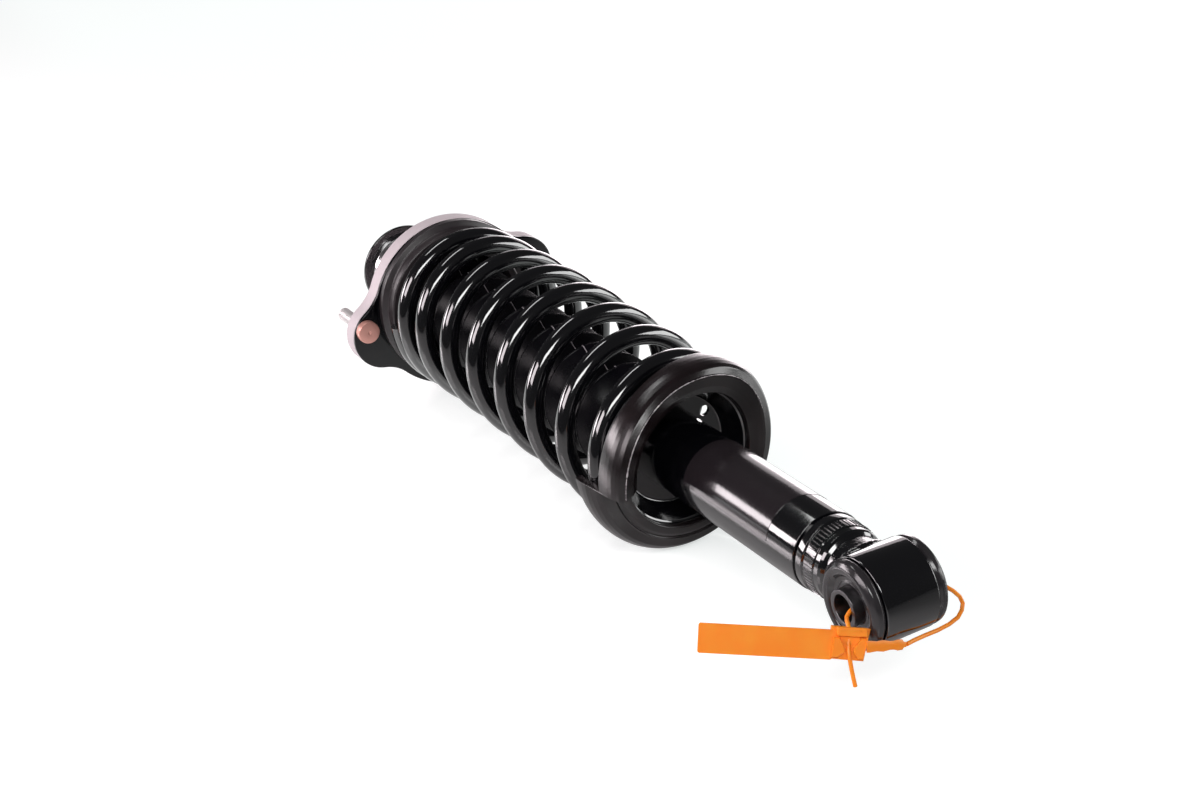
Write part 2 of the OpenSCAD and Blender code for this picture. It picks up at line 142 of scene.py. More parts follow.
# %% [markdown]
# ## Tools for turned pieces
#
# Most of a damper is turned or rolled, so most pieces here are lathed: an outline of
# (station, radius) corners is rounded at each corner and spun about the strut or about the
# eye. A sharp 90 degree corner never catches light, while a real one has a small radius that
# shows as a bright line, so every outline names its corner radii.

# %% Outlines
def on_circle(angle, radius=1.0):
    """Point on a flat circle round the origin; the angle is in radians."""
    return Vector((math.cos(angle), math.sin(angle))) * radius


def rounded(corners, steps=5):
    """Outline through (station, radius, corner radius) corners, each corner an arc."""
    outline = []
    count = len(corners)
    for i, (s, r, fillet) in enumerate(corners):
        here = Vector((s, r))
        before = Vector(corners[i - 1][:2]) - here
        after = Vector(corners[(i + 1) % count][:2]) - here
        if fillet <= 0 or before.length < 1e-9 or after.length < 1e-9:
            outline.append(here)
            continue
        angle = before.angle(after)
        if angle > math.radians(179.5):
            outline += [here] * (steps + 1)
            continue
        reach = min(fillet / math.tan(angle / 2), before.length * 0.49, after.length * 0.49)
        fillet = reach * math.tan(angle / 2)
        middle = (before.normalized() + after.normalized()).normalized()
        centre = here + middle * (fillet / math.sin(angle / 2))
        start = here + before.normalized() * reach - centre
        end = here + after.normalized() * reach - centre
        first = math.atan2(start.y, start.x)
        swing = (math.atan2(end.y, end.x) - first + math.pi) % (2 * math.pi) - math.pi
        outline += [centre + on_circle(first + swing * k / steps, fillet) for k in range(steps + 1)]
    return outline


print("points for one rounded corner:", len(rounded([(0, 0, 1), (9, 0, 0), (0, 9, 0)])) - 2)


# %% Meshes from rings
def smooth_mesh(mesh, angle=30.0):
    """Smooth shading that keeps folds sharper than an angle in degrees."""
    mesh.shade_smooth()
    mesh.set_sharp_from_angle(angle=math.radians(angle))


def new_piece(name, bm, angle=30.0):
    """Object from a bmesh in metres: doubles merged, faces outward, smooth with sharp folds."""
    bmesh.ops.remove_doubles(bm, verts=bm.verts, dist=1e-6)
    bmesh.ops.recalc_face_normals(bm, faces=bm.faces)
    mesh = bpy.data.meshes.new(name)
    bm.to_mesh(mesh)
    bm.free()
    smooth_mesh(mesh, angle)
    return place_object(name, mesh)


def on_strut(station, radius, angle):
    """Point in metres, from its station and its place round the strut; angle in radians."""
    return Vector((station, radius * math.cos(angle), radius * math.sin(angle))) * MM


def new_ring(bm, points):
    return [bm.verts.new(point) for point in points]


def join_rings(bm, rings, closed=False):
    """Faces from each ring to the next; the row of rings is closed, or else its ends are capped."""
    for ring, after in zip(rings, rings[1:] + rings[:1] if closed else rings[1:]):
        for k in range(len(ring)):
            k2 = (k + 1) % len(ring)
            bm.faces.new((ring[k], ring[k2], after[k2], after[k]))
    if not closed:
        bm.faces.new(rings[0][::-1])
        bm.faces.new(rings[-1])


print("a point on the strut's top, 100 mm along:", on_strut(100, TUBE_R, math.pi / 2)[:])


# %% Lathe
def lathe_mesh(bm, outline, axis="X", segments=160):
    """Spin a closed outline, in millimetres, about the strut (X) or about the eye (Y)."""
    turns = [2 * math.pi * k / segments for k in range(segments)]
    if axis == "X":
        rings = [new_ring(bm, [on_strut(s, r, a) for a in turns]) for s, r in outline]
    else:
        rings = [
            new_ring(bm, [Vector((r * math.sin(a), s, r * math.cos(a))) * MM for a in turns])
            for s, r in outline
        ]
    for i, ring in enumerate(rings):
        after = (i + 1) % len(rings)
        if outline[i][1] < 1e-6 and outline[after][1] < 1e-6:
            continue
        for k in range(segments):
            k2 = (k + 1) % segments
            bm.faces.new((ring[k], ring[k2], rings[after][k2], rings[after][k]))


def hollow(start, end, inner, outer, inner_edge, outer_edge):
    """Outline of a plain tube, with the radii of its inner and outer edges."""
    return [
        (start, inner, inner_edge), (start, outer, outer_edge),
        (end, outer, outer_edge), (end, inner, inner_edge),
    ]


def lathe(name, corners, axis="X", segments=160, steps=5, angle=30.0):
    """A turned piece from its rounded outline."""
    bm = bmesh.new()
    lathe_mesh(bm, rounded(corners, steps), axis, segments)
    return new_piece(name, bm, angle)


print("lathe ready")

# %% [markdown]
# ## Finishes
#
# A finish is a small node tree: one shader, and noise that varies its roughness and lifts its
# surface a little, at the scale the real finish shows. Patterns read Object coordinates, so
# they keep their size on every piece and don't slide when a piece moves.

# %% Node helpers
def new_nodes(tree, *kinds):
    """A new node of each kind."""
    return [tree.nodes.new(kind) for kind in kinds]


def link(source, output, target, socket):
    """Join two nodes of one tree by the names or numbers of their sockets."""
    source.id_data.links.new(source.outputs[output], target.inputs[socket])


def math_node(tree, operation, *constants):
    """Math node whose last inputs are constants."""
    node = tree.nodes.new("ShaderNodeMath")
    node.operation = operation
    for socket, value in enumerate(constants, 1):
        node.inputs[socket].default_value = value
    return node


def ramp_node(tree, limits, smooth=False):
    """Map Range node from its limits (from min, from max, to min, to max)."""
    ramp = tree.nodes.new("ShaderNodeMapRange")
    for socket, value in zip(("From Min", "From Max", "To Min", "To Max"), limits):
        ramp.inputs[socket].default_value = value
    if smooth:
        ramp.interpolation_type = "SMOOTHSTEP"
    return ramp


def colour_ramp(tree, dark, light, start=0.0, end=1.0):
    """Colour ramp from dark at start to light at end."""
    ramp = tree.nodes.new("ShaderNodeValToRGB")
    for element, place, colour in zip(ramp.color_ramp.elements, (start, end), (dark, light)):
        element.position = place
        element.color = (*colour, 1)
    return ramp


print("node helpers ready")


# %% Material helpers
def base_material(name, colour, metallic, roughness, coat=0.0, coat_roughness=0.1):
    """Principled material with its constants on the shader's own sockets."""
    material = bpy.data.materials.new(name)
    material.use_nodes = True
    shader = material.node_tree.nodes["Principled BSDF"]
    shader.inputs["Base Color"].default_value = (*colour, 1)
    shader.inputs["Metallic"].default_value = metallic
    shader.inputs["Roughness"].default_value = roughness
    shader.inputs["Coat Weight"].default_value = coat
    shader.inputs["Coat Roughness"].default_value = coat_roughness
    return material, shader


def noise_node(tree, scale, detail=2.0, stretch=(1, 1, 1)):
    """Noise on Object coordinates; scale is in waves per metre."""
    place, turn, noise = new_nodes(
        tree, "ShaderNodeTexCoord", "ShaderNodeMapping", "ShaderNodeTexNoise")
    turn.inputs["Scale"].default_value = stretch
    noise.inputs["Scale"].default_value = scale
    noise.inputs["Detail"].default_value = detail
    link(place, "Object", turn, "Vector")
    link(turn, "Vector", noise, "Vector")
    return noise


def vary_roughness(shader, low, high, *noise):
    """Roughness that wanders between low and high."""
    ramp = ramp_node(shader.id_data, (0.3, 0.7, low, high))
    link(noise_node(shader.id_data, *noise), "Fac", ramp, "Value")
    link(ramp, "Result", shader, "Roughness")


def vary_colour(shader, dark, light, *noise):
    """Colour that wanders between dark and light."""
    ramp = colour_ramp(shader.id_data, dark, light, 0.35, 0.65)
    link(noise_node(shader.id_data, *noise), "Fac", ramp, "Fac")
    link(ramp, "Color", shader, "Base Color")


def raise_surface(shader, depth, *noise):
    """Bump from noise; depth is in metres."""
    bump = shader.id_data.nodes.new("ShaderNodeBump")
    bump.inputs["Distance"].default_value = depth
    link(noise_node(shader.id_data, *noise), "Fac", bump, "Height")
    link(bump, "Normal", shader, "Normal")


print("material helpers ready")

# %% [markdown]
# The tube, the spring and the pressings share one gloss black paint, and the top plate has a
# thin primer that reflects less. Sprayed or powder paint is never quite flat: it flows into a
# shallow ripple a few millimetres long, which bends the reflected lamps slightly. Over a weld
# bead the same paint is rough and sparkles.

# %% Gloss black paint
def gloss_black_paint(name, coat, ripple, depth, ior=1.85):
    material, shader = base_material(name, (0.002, 0.002, 0.003), 0.0, 0.08, coat, 0.3)
    shader.inputs["IOR"].default_value = ior
    vary_roughness(shader, 0.06, 0.1, 60)
    raise_surface(shader, depth, ripple, 3)
    return material


PAINT = gloss_black_paint("gloss_black_paint", 0.06, 200, 0.00003)
WELD_PAINT = gloss_black_paint("painted_weld", 0.06, 620, 0.00022)
PLATE_PAINT = gloss_black_paint("plate_primer", 0.0, 200, 0.00003, ior=1.35)
print("made", PAINT.name, WELD_PAINT.name, PLATE_PAINT.name)

# %% [markdown]
# The seat pad, the bush and the boot are moulded rubber. Rubber is dark grey rather than
# black, its highlights are broad, and a bloom of wax makes it a little lighter in patches.

# %% Rubbers
def satin_rubber(name, dark, light, low, high, grain=0.00003, shine=0.5):
    material, shader = base_material(name, dark, 0.0, low)
    shader.inputs["Specular IOR Level"].default_value = shine
    vary_colour(shader, dark, light, 45, 3)
    vary_roughness(shader, low, high, 90, 3)
    raise_surface(shader, grain, 900, 2)
    return material


PAD_RUBBER = satin_rubber(
    "pad_rubber", (0.005, 0.003, 0.0035), (0.010, 0.006, 0.007), 0.2, 0.27)
UPPER_RUBBER = satin_rubber(
    "upper_pad_rubber", (0.020, 0.016, 0.018), (0.028, 0.023, 0.025), 0.3, 0.4)
BUSH_RUBBER = satin_rubber(
    "bush_rubber", (0.020, 0.018, 0.020), (0.030, 0.028, 0.030), 0.12, 0.18)
BOOT_RUBBER = satin_rubber(
    "boot_rubber", (0.002, 0.002, 0.003), (0.004, 0.0035, 0.005), 0.24, 0.32, shine=0.14)
# The parting line is painted lighter than the boot: a painted highlight for its glints.
SEAM_HIGHLIGHT_RUBBER = satin_rubber("seam_rubber", (0.08, 0.075, 0.08), (0.14, 0.13, 0.14), 0.25, 0.35)
FLASH_RUBBER = satin_rubber("flash_rubber", (0.2, 0.18, 0.19), (0.85, 0.8, 0.82), 0.4, 0.5)
STOP_FOAM = satin_rubber("stop_foam", (0.05, 0.045, 0.04), (0.08, 0.07, 0.065), 0.7, 0.85, 0.0001)
print("made", PAD_RUBBER.name, BUSH_RUBBER.name, BOOT_RUBBER.name, STOP_FOAM.name)

# %% [markdown]
# The bare metals differ by how they were made. The top casting was left as cast and shot
# clean, the rod and the cup are ground and plated, the sleeve has a dark phosphate skin, and
# the studs have a coppery passivated zinc.

# %% Metals
def metal(name, colour, low, high, scale, bump_scale, depth, stretch=(1, 1, 1), metallic=1.0):
    material, shader = base_material(name, colour, metallic, low)
    vary_roughness(shader, low, high, scale, 3, stretch)
    raise_surface(shader, depth, bump_scale, 3, stretch)
    return material


CAST_ALLOY = metal("cast_alloy", (0.60, 0.53, 0.555), 0.58, 0.68, 120, 700, 0.00003, metallic=0.12)
PLATED_STEEL = metal("plated_steel", (0.72, 0.71, 0.72), 0.12, 0.22, 80, 500, 0.00001)
DARK_STEEL = metal("phosphated_steel", (0.12, 0.115, 0.12), 0.28, 0.4, 150, 900, 0.00002)
BRIGHT_STEEL = metal("bright_steel", (0.55, 0.54, 0.53), 0.25, 0.38, 120, 600, 0.00002, (1, 9, 9))
STUD_ZINC = metal("copper_zinc", (0.64, 0.32, 0.27), 0.38, 0.5, 200, 900, 0.00003, metallic=0.55)
print("made", [m.name for m in (CAST_ALLOY, PLATED_STEEL, DARK_STEEL, BRIGHT_STEEL, STUD_ZINC)])

# %% [markdown]
# The label is a thin plastic film, a little lighter and duller than the paint around it. The
# seal is injection-moulded plastic that lets some light through, so its thin strap glows.

# %% Plastics
def label_film():
    material, shader = base_material("label_film", (0.015, 0.012, 0.014), 0.0, 0.14)
    shader.inputs["IOR"].default_value = 1.65
    vary_roughness(shader, 0.12, 0.16, 70)
    raise_surface(shader, 0.00003, 420)
    return material


def seal_plastic():
    material, shader = base_material("seal_plastic", (1.0, 0.28, 0.012), 0.0, 0.38)
    shader.inputs["Subsurface Weight"].default_value = 0.25
    shader.inputs["Subsurface Radius"].default_value = (0.004, 0.0015, 0.0004)
    shader.inputs["Subsurface Scale"].default_value = 1.0
    vary_colour(shader, (1.0, 0.26, 0.010), (1.0, 0.3, 0.016), 70, 3)
    raise_surface(shader, 0.00004, 500, 3)
    return material


LABEL_FILM = label_film()
SEAL_PLASTIC = seal_plastic()
print("made", LABEL_FILM.name, SEAL_PLASTIC.name)


# %% Putting a piece in the frame
def set_material(piece, material):
    piece.data.materials.clear()
    piece.data.materials.append(material)


def finish_piece(piece, material, slot, body, *nodes):
    """Give a piece its material and its body, and hide the solids it stands for; the slot is not
    used.
    """
    set_material(piece, material)
    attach(piece, body)
    if nodes:
        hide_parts(*nodes)
    return piece


def repaint(material, *nodes):
    """Solids whose shape is already right keep their mesh and get a better material."""
    for node in nodes:
        set_material(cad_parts[node], material)


def report(*pieces):
    """Print the pieces' names and their numbers of faces."""
    print("made", {piece.name: len(piece.data.polygons) for piece in pieces})


DAMPER, ROD, INNER = "damper_body", "rod_assembly", "inner_sleeve"
print("bodies:", DAMPER, ROD, INNER)

# %% [markdown]
# ## Floor and light
#
# The strut lies on glazed white paper. The paper is lifted to white for the camera alone and
# keeps the strut's shadow, and it is darker on the strut's right, so that the dish stays
# black. Gloss black shows nothing of its own: what we see on it are the paper, the dark air
# and the soft lamps, so each lamp's place was worked out from where its reflection runs along
# the tube and the coils. Beyond the strut the paper glows in reflections, which draws the thin
# pale rim on top of each coil.

# %% Floor
SHADE_FROM, SHADE_TO = -0.12, 0.08
GLOW_DIRECTION = (0.79, -0.61, 0.0)
GLOW_FROM, GLOW_TO = 0.12, 0.45


def white_paper():
    """Glazed paper: darker on the strut's right, white to the camera, bright beyond the strut."""
    material, shader = base_material("white_paper", (0.8, 0.8, 0.8), 0.0, 0.12)
    tree = material.node_tree
    place, parts, beyond, rays = new_nodes(
        tree, "ShaderNodeTexCoord", "ShaderNodeSeparateXYZ", "ShaderNodeVectorMath",
        "ShaderNodeLightPath")
    beyond.operation = "DOT_PRODUCT"
    beyond.inputs[1].default_value = GLOW_DIRECTION
    grey = ramp_node(tree, (SHADE_FROM, SHADE_TO, 0.3, 0.85), smooth=True)
    to_camera = ramp_node(tree, (SHADE_FROM, SHADE_TO, 0.84, 0.52), smooth=True)
    to_gloss = ramp_node(tree, (GLOW_FROM, GLOW_TO, 0.0, 1.0), smooth=True)
    seen, total = math_node(tree, "MULTIPLY"), math_node(tree, "MULTIPLY_ADD")
    link(place, "Object", parts, "Vector")
    link(place, "Object", beyond, 0)
    link(parts, "Y", grey, "Value")
    link(parts, "Y", to_camera, "Value")
    link(beyond, "Value", to_gloss, "Value")
    link(grey, "Result", shader, "Base Color")
    link(rays, "Is Camera Ray", seen, 0)
    link(to_camera, "Result", seen, 1)
    link(rays, "Is Glossy Ray", total, 0)
    link(to_gloss, "Result", total, 1)
    link(seen, "Value", total, 2)
    shader.inputs["Emission Color"].default_value = (0.96, 1.0, 0.99, 1)
    link(total, "Value", shader, "Emission Strength")
    return material


def make_floor(z):
    """A sheet of paper far larger than the view."""
    bm = bmesh.new()
    bmesh.ops.create_grid(bm, x_segments=1, y_segments=1, size=14.0)
    bmesh.ops.translate(bm, verts=bm.verts, vec=(0.3, 0, z))
    mesh = bpy.data.meshes.new("floor")
    bm.to_mesh(mesh)
    bm.free()
    mesh.materials.append(white_paper())
    place_object("floor", mesh)


FLOOR_GAP = 0.0003
make_floor(cad_box[0][2] - FLOOR_GAP)
print("floor at", round(cad_box[0][2], 4))


# %% Lamps and air
MIDDLE = Vector((0.28, 0.0, 0.0))


def soft_lamp(name, azimuth, elevation, width, height, radiance, colour=(1, 1, 1), distance=2.2):
    """A rectangular soft box seen from the strut at these angles, of this width and height.

    All four are in degrees; azimuth runs from +X to +Y. Its power follows from its radiance.
    """
    data = bpy.data.lights.new(name, "AREA")
    data.shape = "RECTANGLE"
    data.size = 2 * distance * math.tan(math.radians(width / 2))
    data.size_y = 2 * distance * math.tan(math.radians(height / 2))
    data.energy = radiance * math.pi * data.size * data.size_y
    data.color = colour
    lamp = place_object(name, data)
    az, el = math.radians(azimuth), math.radians(elevation)
    arm = Vector((math.cos(el) * math.cos(az), math.cos(el) * math.sin(az), math.sin(el)))
    lamp.location = MIDDLE + arm * distance
    lamp.rotation_euler = (-arm).to_track_quat("-Z", "Y").to_euler()


def make_air(level):
    """Even air for the fill light, dim for the strut and white for the camera."""
    world = bpy.data.worlds.new("air")
    world.use_nodes = True
    tree = world.node_tree
    air = tree.nodes["Background"]
    air.inputs["Color"].default_value = (1, 1, 1, 1)
    strength = math_node(tree, "MULTIPLY_ADD", 1 - level, level)
    link(tree.nodes.new("ShaderNodeLightPath"), "Is Camera Ray", strength, 0)
    link(strength, "Value", air, "Strength")
    bpy.context.scene.world = world


ROSE = (1.0, 0.91, 0.94)
soft_lamp("right_lamp", -113, 12, 38, 20, 6)
soft_lamp("left_lamp", 90, 31, 30, 20, 8, ROSE)
soft_lamp("far_left_lamp", 44, 14, 24, 13, 12, ROSE)
soft_lamp("camera_lamp", 154, 41, 30, 14, 11)
soft_lamp("far_top_lamp", 14, 62, 26, 10, 6)
soft_lamp("back_panel", -46, 4, 34, 13, 6, ROSE)
soft_lamp("upper_panel", -46, 17, 46, 13, 1.6, ROSE)
make_air(0.06)
bpy.context.scene.view_settings.view_transform = "Standard"

# %% [markdown]
# ## The coil spring
#
# A spring is one wire that follows a rule: its ends lie flat, its middle climbs one pitch a
# turn. The rule gives a curve, and a small Geometry Nodes tree carries a round section along
# it. Sweeping a section is better than the Screw modifier here, because the pitch changes
# along the wire and the coil bows slightly.

# %% The wire's path
COIL_R = 54.0
WIRE_R = 6.5
WIRE_GAP = 0.02
WIRE_SIDES = 32
STEPS_PER_TURN = 72
COIL_PITCH = 40.7
COIL_TURNS = 9.0
COIL_START = 203.4
FLAT_TURNS, EASE_TURNS, TOP_TURNS, TOP_EASE = 0.2, 0.979, 7.0, 17.7
COIL_BOW = 5.8
BOW_START = COIL_START + 4.6
TOP_OFFSET = Vector((0, 1.0, 4.5))


def smooth_step(x):
    x = min(1.0, max(0.0, x))
    return x * x * (3 - 2 * x)


def wire_station(turns):
    """Station of the wire's centre after so many turns from its lower end."""
    if turns < FLAT_TURNS:
        return COIL_START
    if turns < FLAT_TURNS + EASE_TURNS:
        return COIL_START + COIL_PITCH * (turns - FLAT_TURNS) ** 2 / (2 * EASE_TURNS)
    rise = COIL_PITCH * (turns - FLAT_TURNS - EASE_TURNS / 2)
    if turns > TOP_TURNS:
        rise -= TOP_EASE * (turns - TOP_TURNS) ** 2 / 2
    return COIL_START + rise


COIL_END = wire_station(COIL_TURNS)


def wire_point(turns):
    """Centre of the wire in metres: a helix whose upper end is off the axis, and which bows."""
    s = wire_station(turns)
    a = 2 * math.pi * turns
    share = min(1.0, max(0.0, (s - BOW_START) / (COIL_END - BOW_START)))
    bow = COIL_BOW * math.sin(math.pi * share)
    place = Vector((s, COIL_R * math.cos(a) + bow / 5, COIL_R * math.sin(a) + bow))
    return (place + TOP_OFFSET * smooth_step(share)) * MM


def curve_object(name, points):
    """A poly curve through points in metres."""
    curve = bpy.data.curves.new(name, "CURVE")
    curve.dimensions = "3D"
    spline = curve.splines.new("POLY")
    spline.points.add(len(points) - 1)
    for place, point in zip(spline.points, points):
        place.co = (*point, 1)
    return place_object(name, curve)


print("coil from", COIL_START, "to", round(COIL_END, 1), "mm")


# %% Geometry Nodes
def new_tree(name, *inputs):
    """Tree with a geometry in and out, further inputs as (name, kind) pairs, and a material."""
    tree = bpy.data.node_groups.new(name, "GeometryNodeTree")
    for socket, kind in (("Geometry", "Geometry"), *inputs, ("Material", "Material")):
        tree.interface.new_socket(socket, in_out="INPUT", socket_type="NodeSocket" + kind)
    tree.interface.new_socket("Geometry", in_out="OUTPUT", socket_type="NodeSocketGeometry")
    return tree, tree.nodes.new("NodeGroupInput")


def end_tree(given, source, output):
    """Make the source's copies real, set their material and hand them out."""
    real, paint, result = new_nodes(
        given.id_data, "GeometryNodeRealizeInstances", "GeometryNodeSetMaterial",
        "NodeGroupOutput")
    link(source, output, real, "Geometry")
    link(real, "Geometry", paint, "Geometry")
    link(given, "Material", paint, "Material")
    link(paint, "Geometry", result, "Geometry")


def sweep_tree():
    """Geometry Nodes: carry a circle along a curve, close its ends, set its material."""
    tree, given = new_tree(
        "sweep_round_section", ("Section Radius", "Float"), ("Section Sides", "Int"))
    section, sweep, smooth = new_nodes(
        tree, "GeometryNodeCurvePrimitiveCircle", "GeometryNodeCurveToMesh",
        "GeometryNodeSetShadeSmooth")
    sweep.inputs["Fill Caps"].default_value = True
    link(given, "Section Sides", section, "Resolution")
    link(given, "Section Radius", section, "Radius")
    link(given, "Geometry", sweep, "Curve")
    link(section, "Curve", sweep, "Profile Curve")
    link(sweep, "Mesh", smooth, "Geometry")
    end_tree(given, smooth, "Geometry")
    return tree


def set_inputs(modifier, **values):
    """Set a Geometry Nodes modifier's inputs by their names."""
    for item in modifier.node_group.interface.items_tree:
        key = item.name.replace(" ", "_").lower()
        if item.item_type == "SOCKET" and item.in_out == "INPUT" and key in values:
            modifier[item.identifier] = values[key]


def evaluated_mesh(piece):
    """Plain mesh of an object's shape with its modifiers applied."""
    depsgraph = bpy.context.evaluated_depsgraph_get()
    return bpy.data.meshes.new_from_object(piece.evaluated_get(depsgraph))


def baked(source, name):
    """Plain mesh object of a source object's evaluated shape; the source is removed."""
    mesh = evaluated_mesh(source)
    mesh.name = name
    bpy.data.objects.remove(source)
    return place_object(name, mesh)


SWEEP = sweep_tree()


def swept(name, points, radius, sides, material):
    """A round wire along points, radius in metres."""
    path = curve_object(name + "_path", points)
    modifier = path.modifiers.new("sweep", "NODES")
    modifier.node_group = SWEEP
    set_inputs(modifier, section_radius=radius, section_sides=sides, material=material)
    return baked(path, name)


def make_coil_spring():
    count = int(COIL_TURNS * STEPS_PER_TURN)
    points = [wire_point(COIL_TURNS * i / count) for i in range(count + 1)]
    coil = swept("spring_coil", points, (WIRE_R - WIRE_GAP) * MM, WIRE_SIDES, PAINT)
    finish_piece(coil, PAINT, "gloss_black", ROD, "coil_spring")
    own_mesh(coil)
    return coil


report(make_coil_spring())

# %% [markdown]
# ## The dust boot
#
# The boot is a blow-moulded bellows. Each fold has a rounded crest and a tighter valley, so
# its outline is a zigzag whose corners all get an arc, spun about the rod. The mould leaves a
# fine bead round each crest and a parting line along one side. That line's rubber is painted
# lighter than the boot, a painted highlight for the glints on its steps.

# %% Dust boot
BOOT_FOLDS = 12
BOOT_CUFF = 6.0
BOOT_WALL = 1.6
BOOT_INNER_R = 26.0
# Half of a crest and its bead: distance along, depth below the crest, corner radius.
BOOT_CREST = [(1.1, 0.5, 0.8), (0.3, 0.35, 0.1), (0.25, 0.0, 0.1)]
SEAM_AT = 85.0
# The parting line's section: turn in degrees, lift in millimetres.
SEAM_SECTION = ((-0.9, -0.2), (0.0, 0.5), (0.9, -0.2))


def add_seam(boot, outline):
    """The mould's parting line: a fine ridge that climbs over every fold."""
    bm = bmesh.new()
    bm.from_mesh(boot.data)
    plain = len(bm.faces)
    places = [(math.radians(SEAM_AT + turn), lift) for turn, lift in SEAM_SECTION]
    rings = [new_ring(bm, [on_strut(s, r + lift, a) for a, lift in places]) for s, r in outline]
    join_rings(bm, rings)
    bmesh.ops.recalc_face_normals(bm, faces=bm.faces)
    bm.faces.ensure_lookup_table()
    # The ridge's faces take the boot's second material, the lighter painted highlight.
    for face in bm.faces[plain:]:
        face.material_index = 1
    bm.to_mesh(boot.data)
    bm.free()
    boot.data.set_sharp_from_angle(angle=math.radians(40))


def make_dust_boot():
    start = BOOT_END - BOOT_CUFF
    pitch = (start - BOOT_START) / BOOT_FOLDS
    valley = BOOT_INNER_R + BOOT_WALL
    outer = [(BOOT_END, valley, 0.3), (start, valley, 1.0)]
    inner = []
    for i in range(BOOT_FOLDS):
        crest = start - (i + 0.5) * pitch
        outer += [(crest + s, BOOT_R - depth, f) for s, depth, f in BOOT_CREST]
        outer += [(crest - s, BOOT_R - depth, f) for s, depth, f in reversed(BOOT_CREST)]
        outer.append((start - (i + 1) * pitch, valley, 1.4))
        inner = [(crest, BOOT_R - BOOT_WALL, 0.8), (start - i * pitch, BOOT_INNER_R, 1.0)] + inner
    corners = outer[:-1] + [(BOOT_START, valley, 0.3), (BOOT_START, BOOT_INNER_R, 0.3)]
    corners += inner + [(BOOT_END, BOOT_INNER_R, 0.3)]
    boot = lathe("bellows", corners, segments=144, steps=4, angle=40)
    add_seam(boot, rounded(outer[1:-1], 4))
    seam = [face.material_index for face in boot.data.polygons]
    finish_piece(boot, BOOT_RUBBER, "rubber", ROD, "dust_boot")
    # The seam's faces get the lighter rubber, a painted highlight.
    boot.data.materials.append(SEAM_HIGHLIGHT_RUBBER)
    boot.data.polygons.foreach_set("material_index", seam)
    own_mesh(boot)
    return boot


report(make_dust_boot())

# %% [markdown]
# ## The lower seat and its rubber pad
#
# The seat is a pressed dish that opens towards the eye, with a rolled rim and drain holes.
# The pad is a thick rubber moulding that wraps the flat end of the wire over a little more
# than half a turn, and then drops to a plain ring under the rising wire. Its section changes
# round the strut, so it is a sweep of a section function, not a lathe.

# %% Seat dish
SEAT_FLOOR = 219.0
SEAT_WALL = 3.0
DRAIN_R = 30.4
DRAIN_HOLE_R = 3.5
DRAIN_ANGLES = (145, 25, 265)


def cut_away(piece, tool):
    """Subtract the tool from the piece for good, and remove the tool."""
    modifier = piece.modifiers.new("cut", "BOOLEAN")
    modifier.object = tool
    modifier.operation = "DIFFERENCE"
    modifier.solver = "EXACT"
    mesh = evaluated_mesh(piece)
    piece.modifiers.clear()
    piece.data = mesh
    smooth_mesh(mesh)
    bpy.data.objects.remove(tool)


def drain_tool(angle):
    """A plug through the dish's floor at this angle round the strut."""
    bm = bmesh.new()
    bmesh.ops.create_cone(
        bm, cap_ends=True, segments=40, radius1=DRAIN_HOLE_R * MM, radius2=DRAIN_HOLE_R * MM,
        depth=0.012, matrix=Matrix.Rotation(math.pi / 2, 4, "Y"),
    )
    place = on_strut(SEAT_FLOOR + SEAT_WALL / 2, DRAIN_R, math.radians(angle))
    bmesh.ops.translate(bm, verts=bm.verts, vec=place)
    return new_piece("drain_tool", bm)


def make_seat():
    tube = TUBE_R + TOUCH_GAP
    seat = lathe("seat_dish", [
        (SEAT_FLOOR, tube, 0.0), (SEAT_FLOOR, 35.6, 2.4), (205.4, 43.2, 0.8), (204.7, 44.2, 0.4),
        (204.7, 45.0, 0.3), (205.5, 45.4, 0.3), (221.2, 38.1, 2.2), (222.0, 27.6, 2.0),
        (232.0, 27.0, 0.6), (232.0, tube, 0.0),
    ], segments=192)
    for angle in DRAIN_ANGLES:
        cut_away(seat, drain_tool(angle))
    return finish_piece(seat, PAINT, "gloss_black", DAMPER, "lower_seat")


report(make_seat())

# %% [markdown]
# The pad's section changes all the way round: its front ridge and its inner edge follow the
# wire's climb, and its rear edge rises beside the wire's end. Each table gives a length for
# some angles about the strut, and the values between them are eased.


# %% Pad section
PAD_STEPS = 288
FLASH_FROM, FLASH_TO, FLASH_STEPS = 1.0, 160.0, 420
FLASH_SIZES = (0.1, 0.35, 0.6, 1.0)
PAD_INNER_R = 44.6
PAD_RIDGE_R = [(0, 58.4), (140, 58.4), (176, 54), (360, 54)]
PAD_FRONT = [
    (0, 26.4), (20, 26.4), (50, 22.9), (70, 19.6), (90, 18.2), (105, 16.4), (120, 12.9),
    (140, 9.6), (160, 7.9), (180, 6.7), (200, 5.9), (225, 4.4), (260, 2.4), (360, 1.4),
]
PAD_INNER = [
    (0, 17.4), (50, 16.4), (70, 14.9), (90, 13.4), (105, 11.4), (120, 8.9), (138, 4.9),
    (150, 3.9), (166, 2.4), (180, 2.1), (200, 2.6), (225, 3.9), (260, 5.4), (360, 5.4),
]
PAD_SHOULDER = [
    (0, 19.4), (60, 14.4), (90, 11.4), (120, 7.4), (144, 4.4), (165, -0.6), (180, -2.6),
    (200, -3.6), (225, -3.4), (270, -6.1), (330, -7.6), (360, -7.6),
]
PAD_REAR = [
    (0, 4.4), (60, 4.4), (75, 1.4), (87, -0.6), (96, -2.6), (110, -5.6), (140, -8.6),
    (180, -11.6), (225, -13.6), (300, -14.6), (330, -16.6), (345, -19.6), (360, -23.6),
]
PAD_OUTER = [
    (0, 64.4), (90, 64.6), (110, 66), (128, 66.6), (145, 65.6), (165, 64.6), (230, 63.8),
    (260, 63.8), (300, 65), (330, 65.6), (360, 65.8),
]


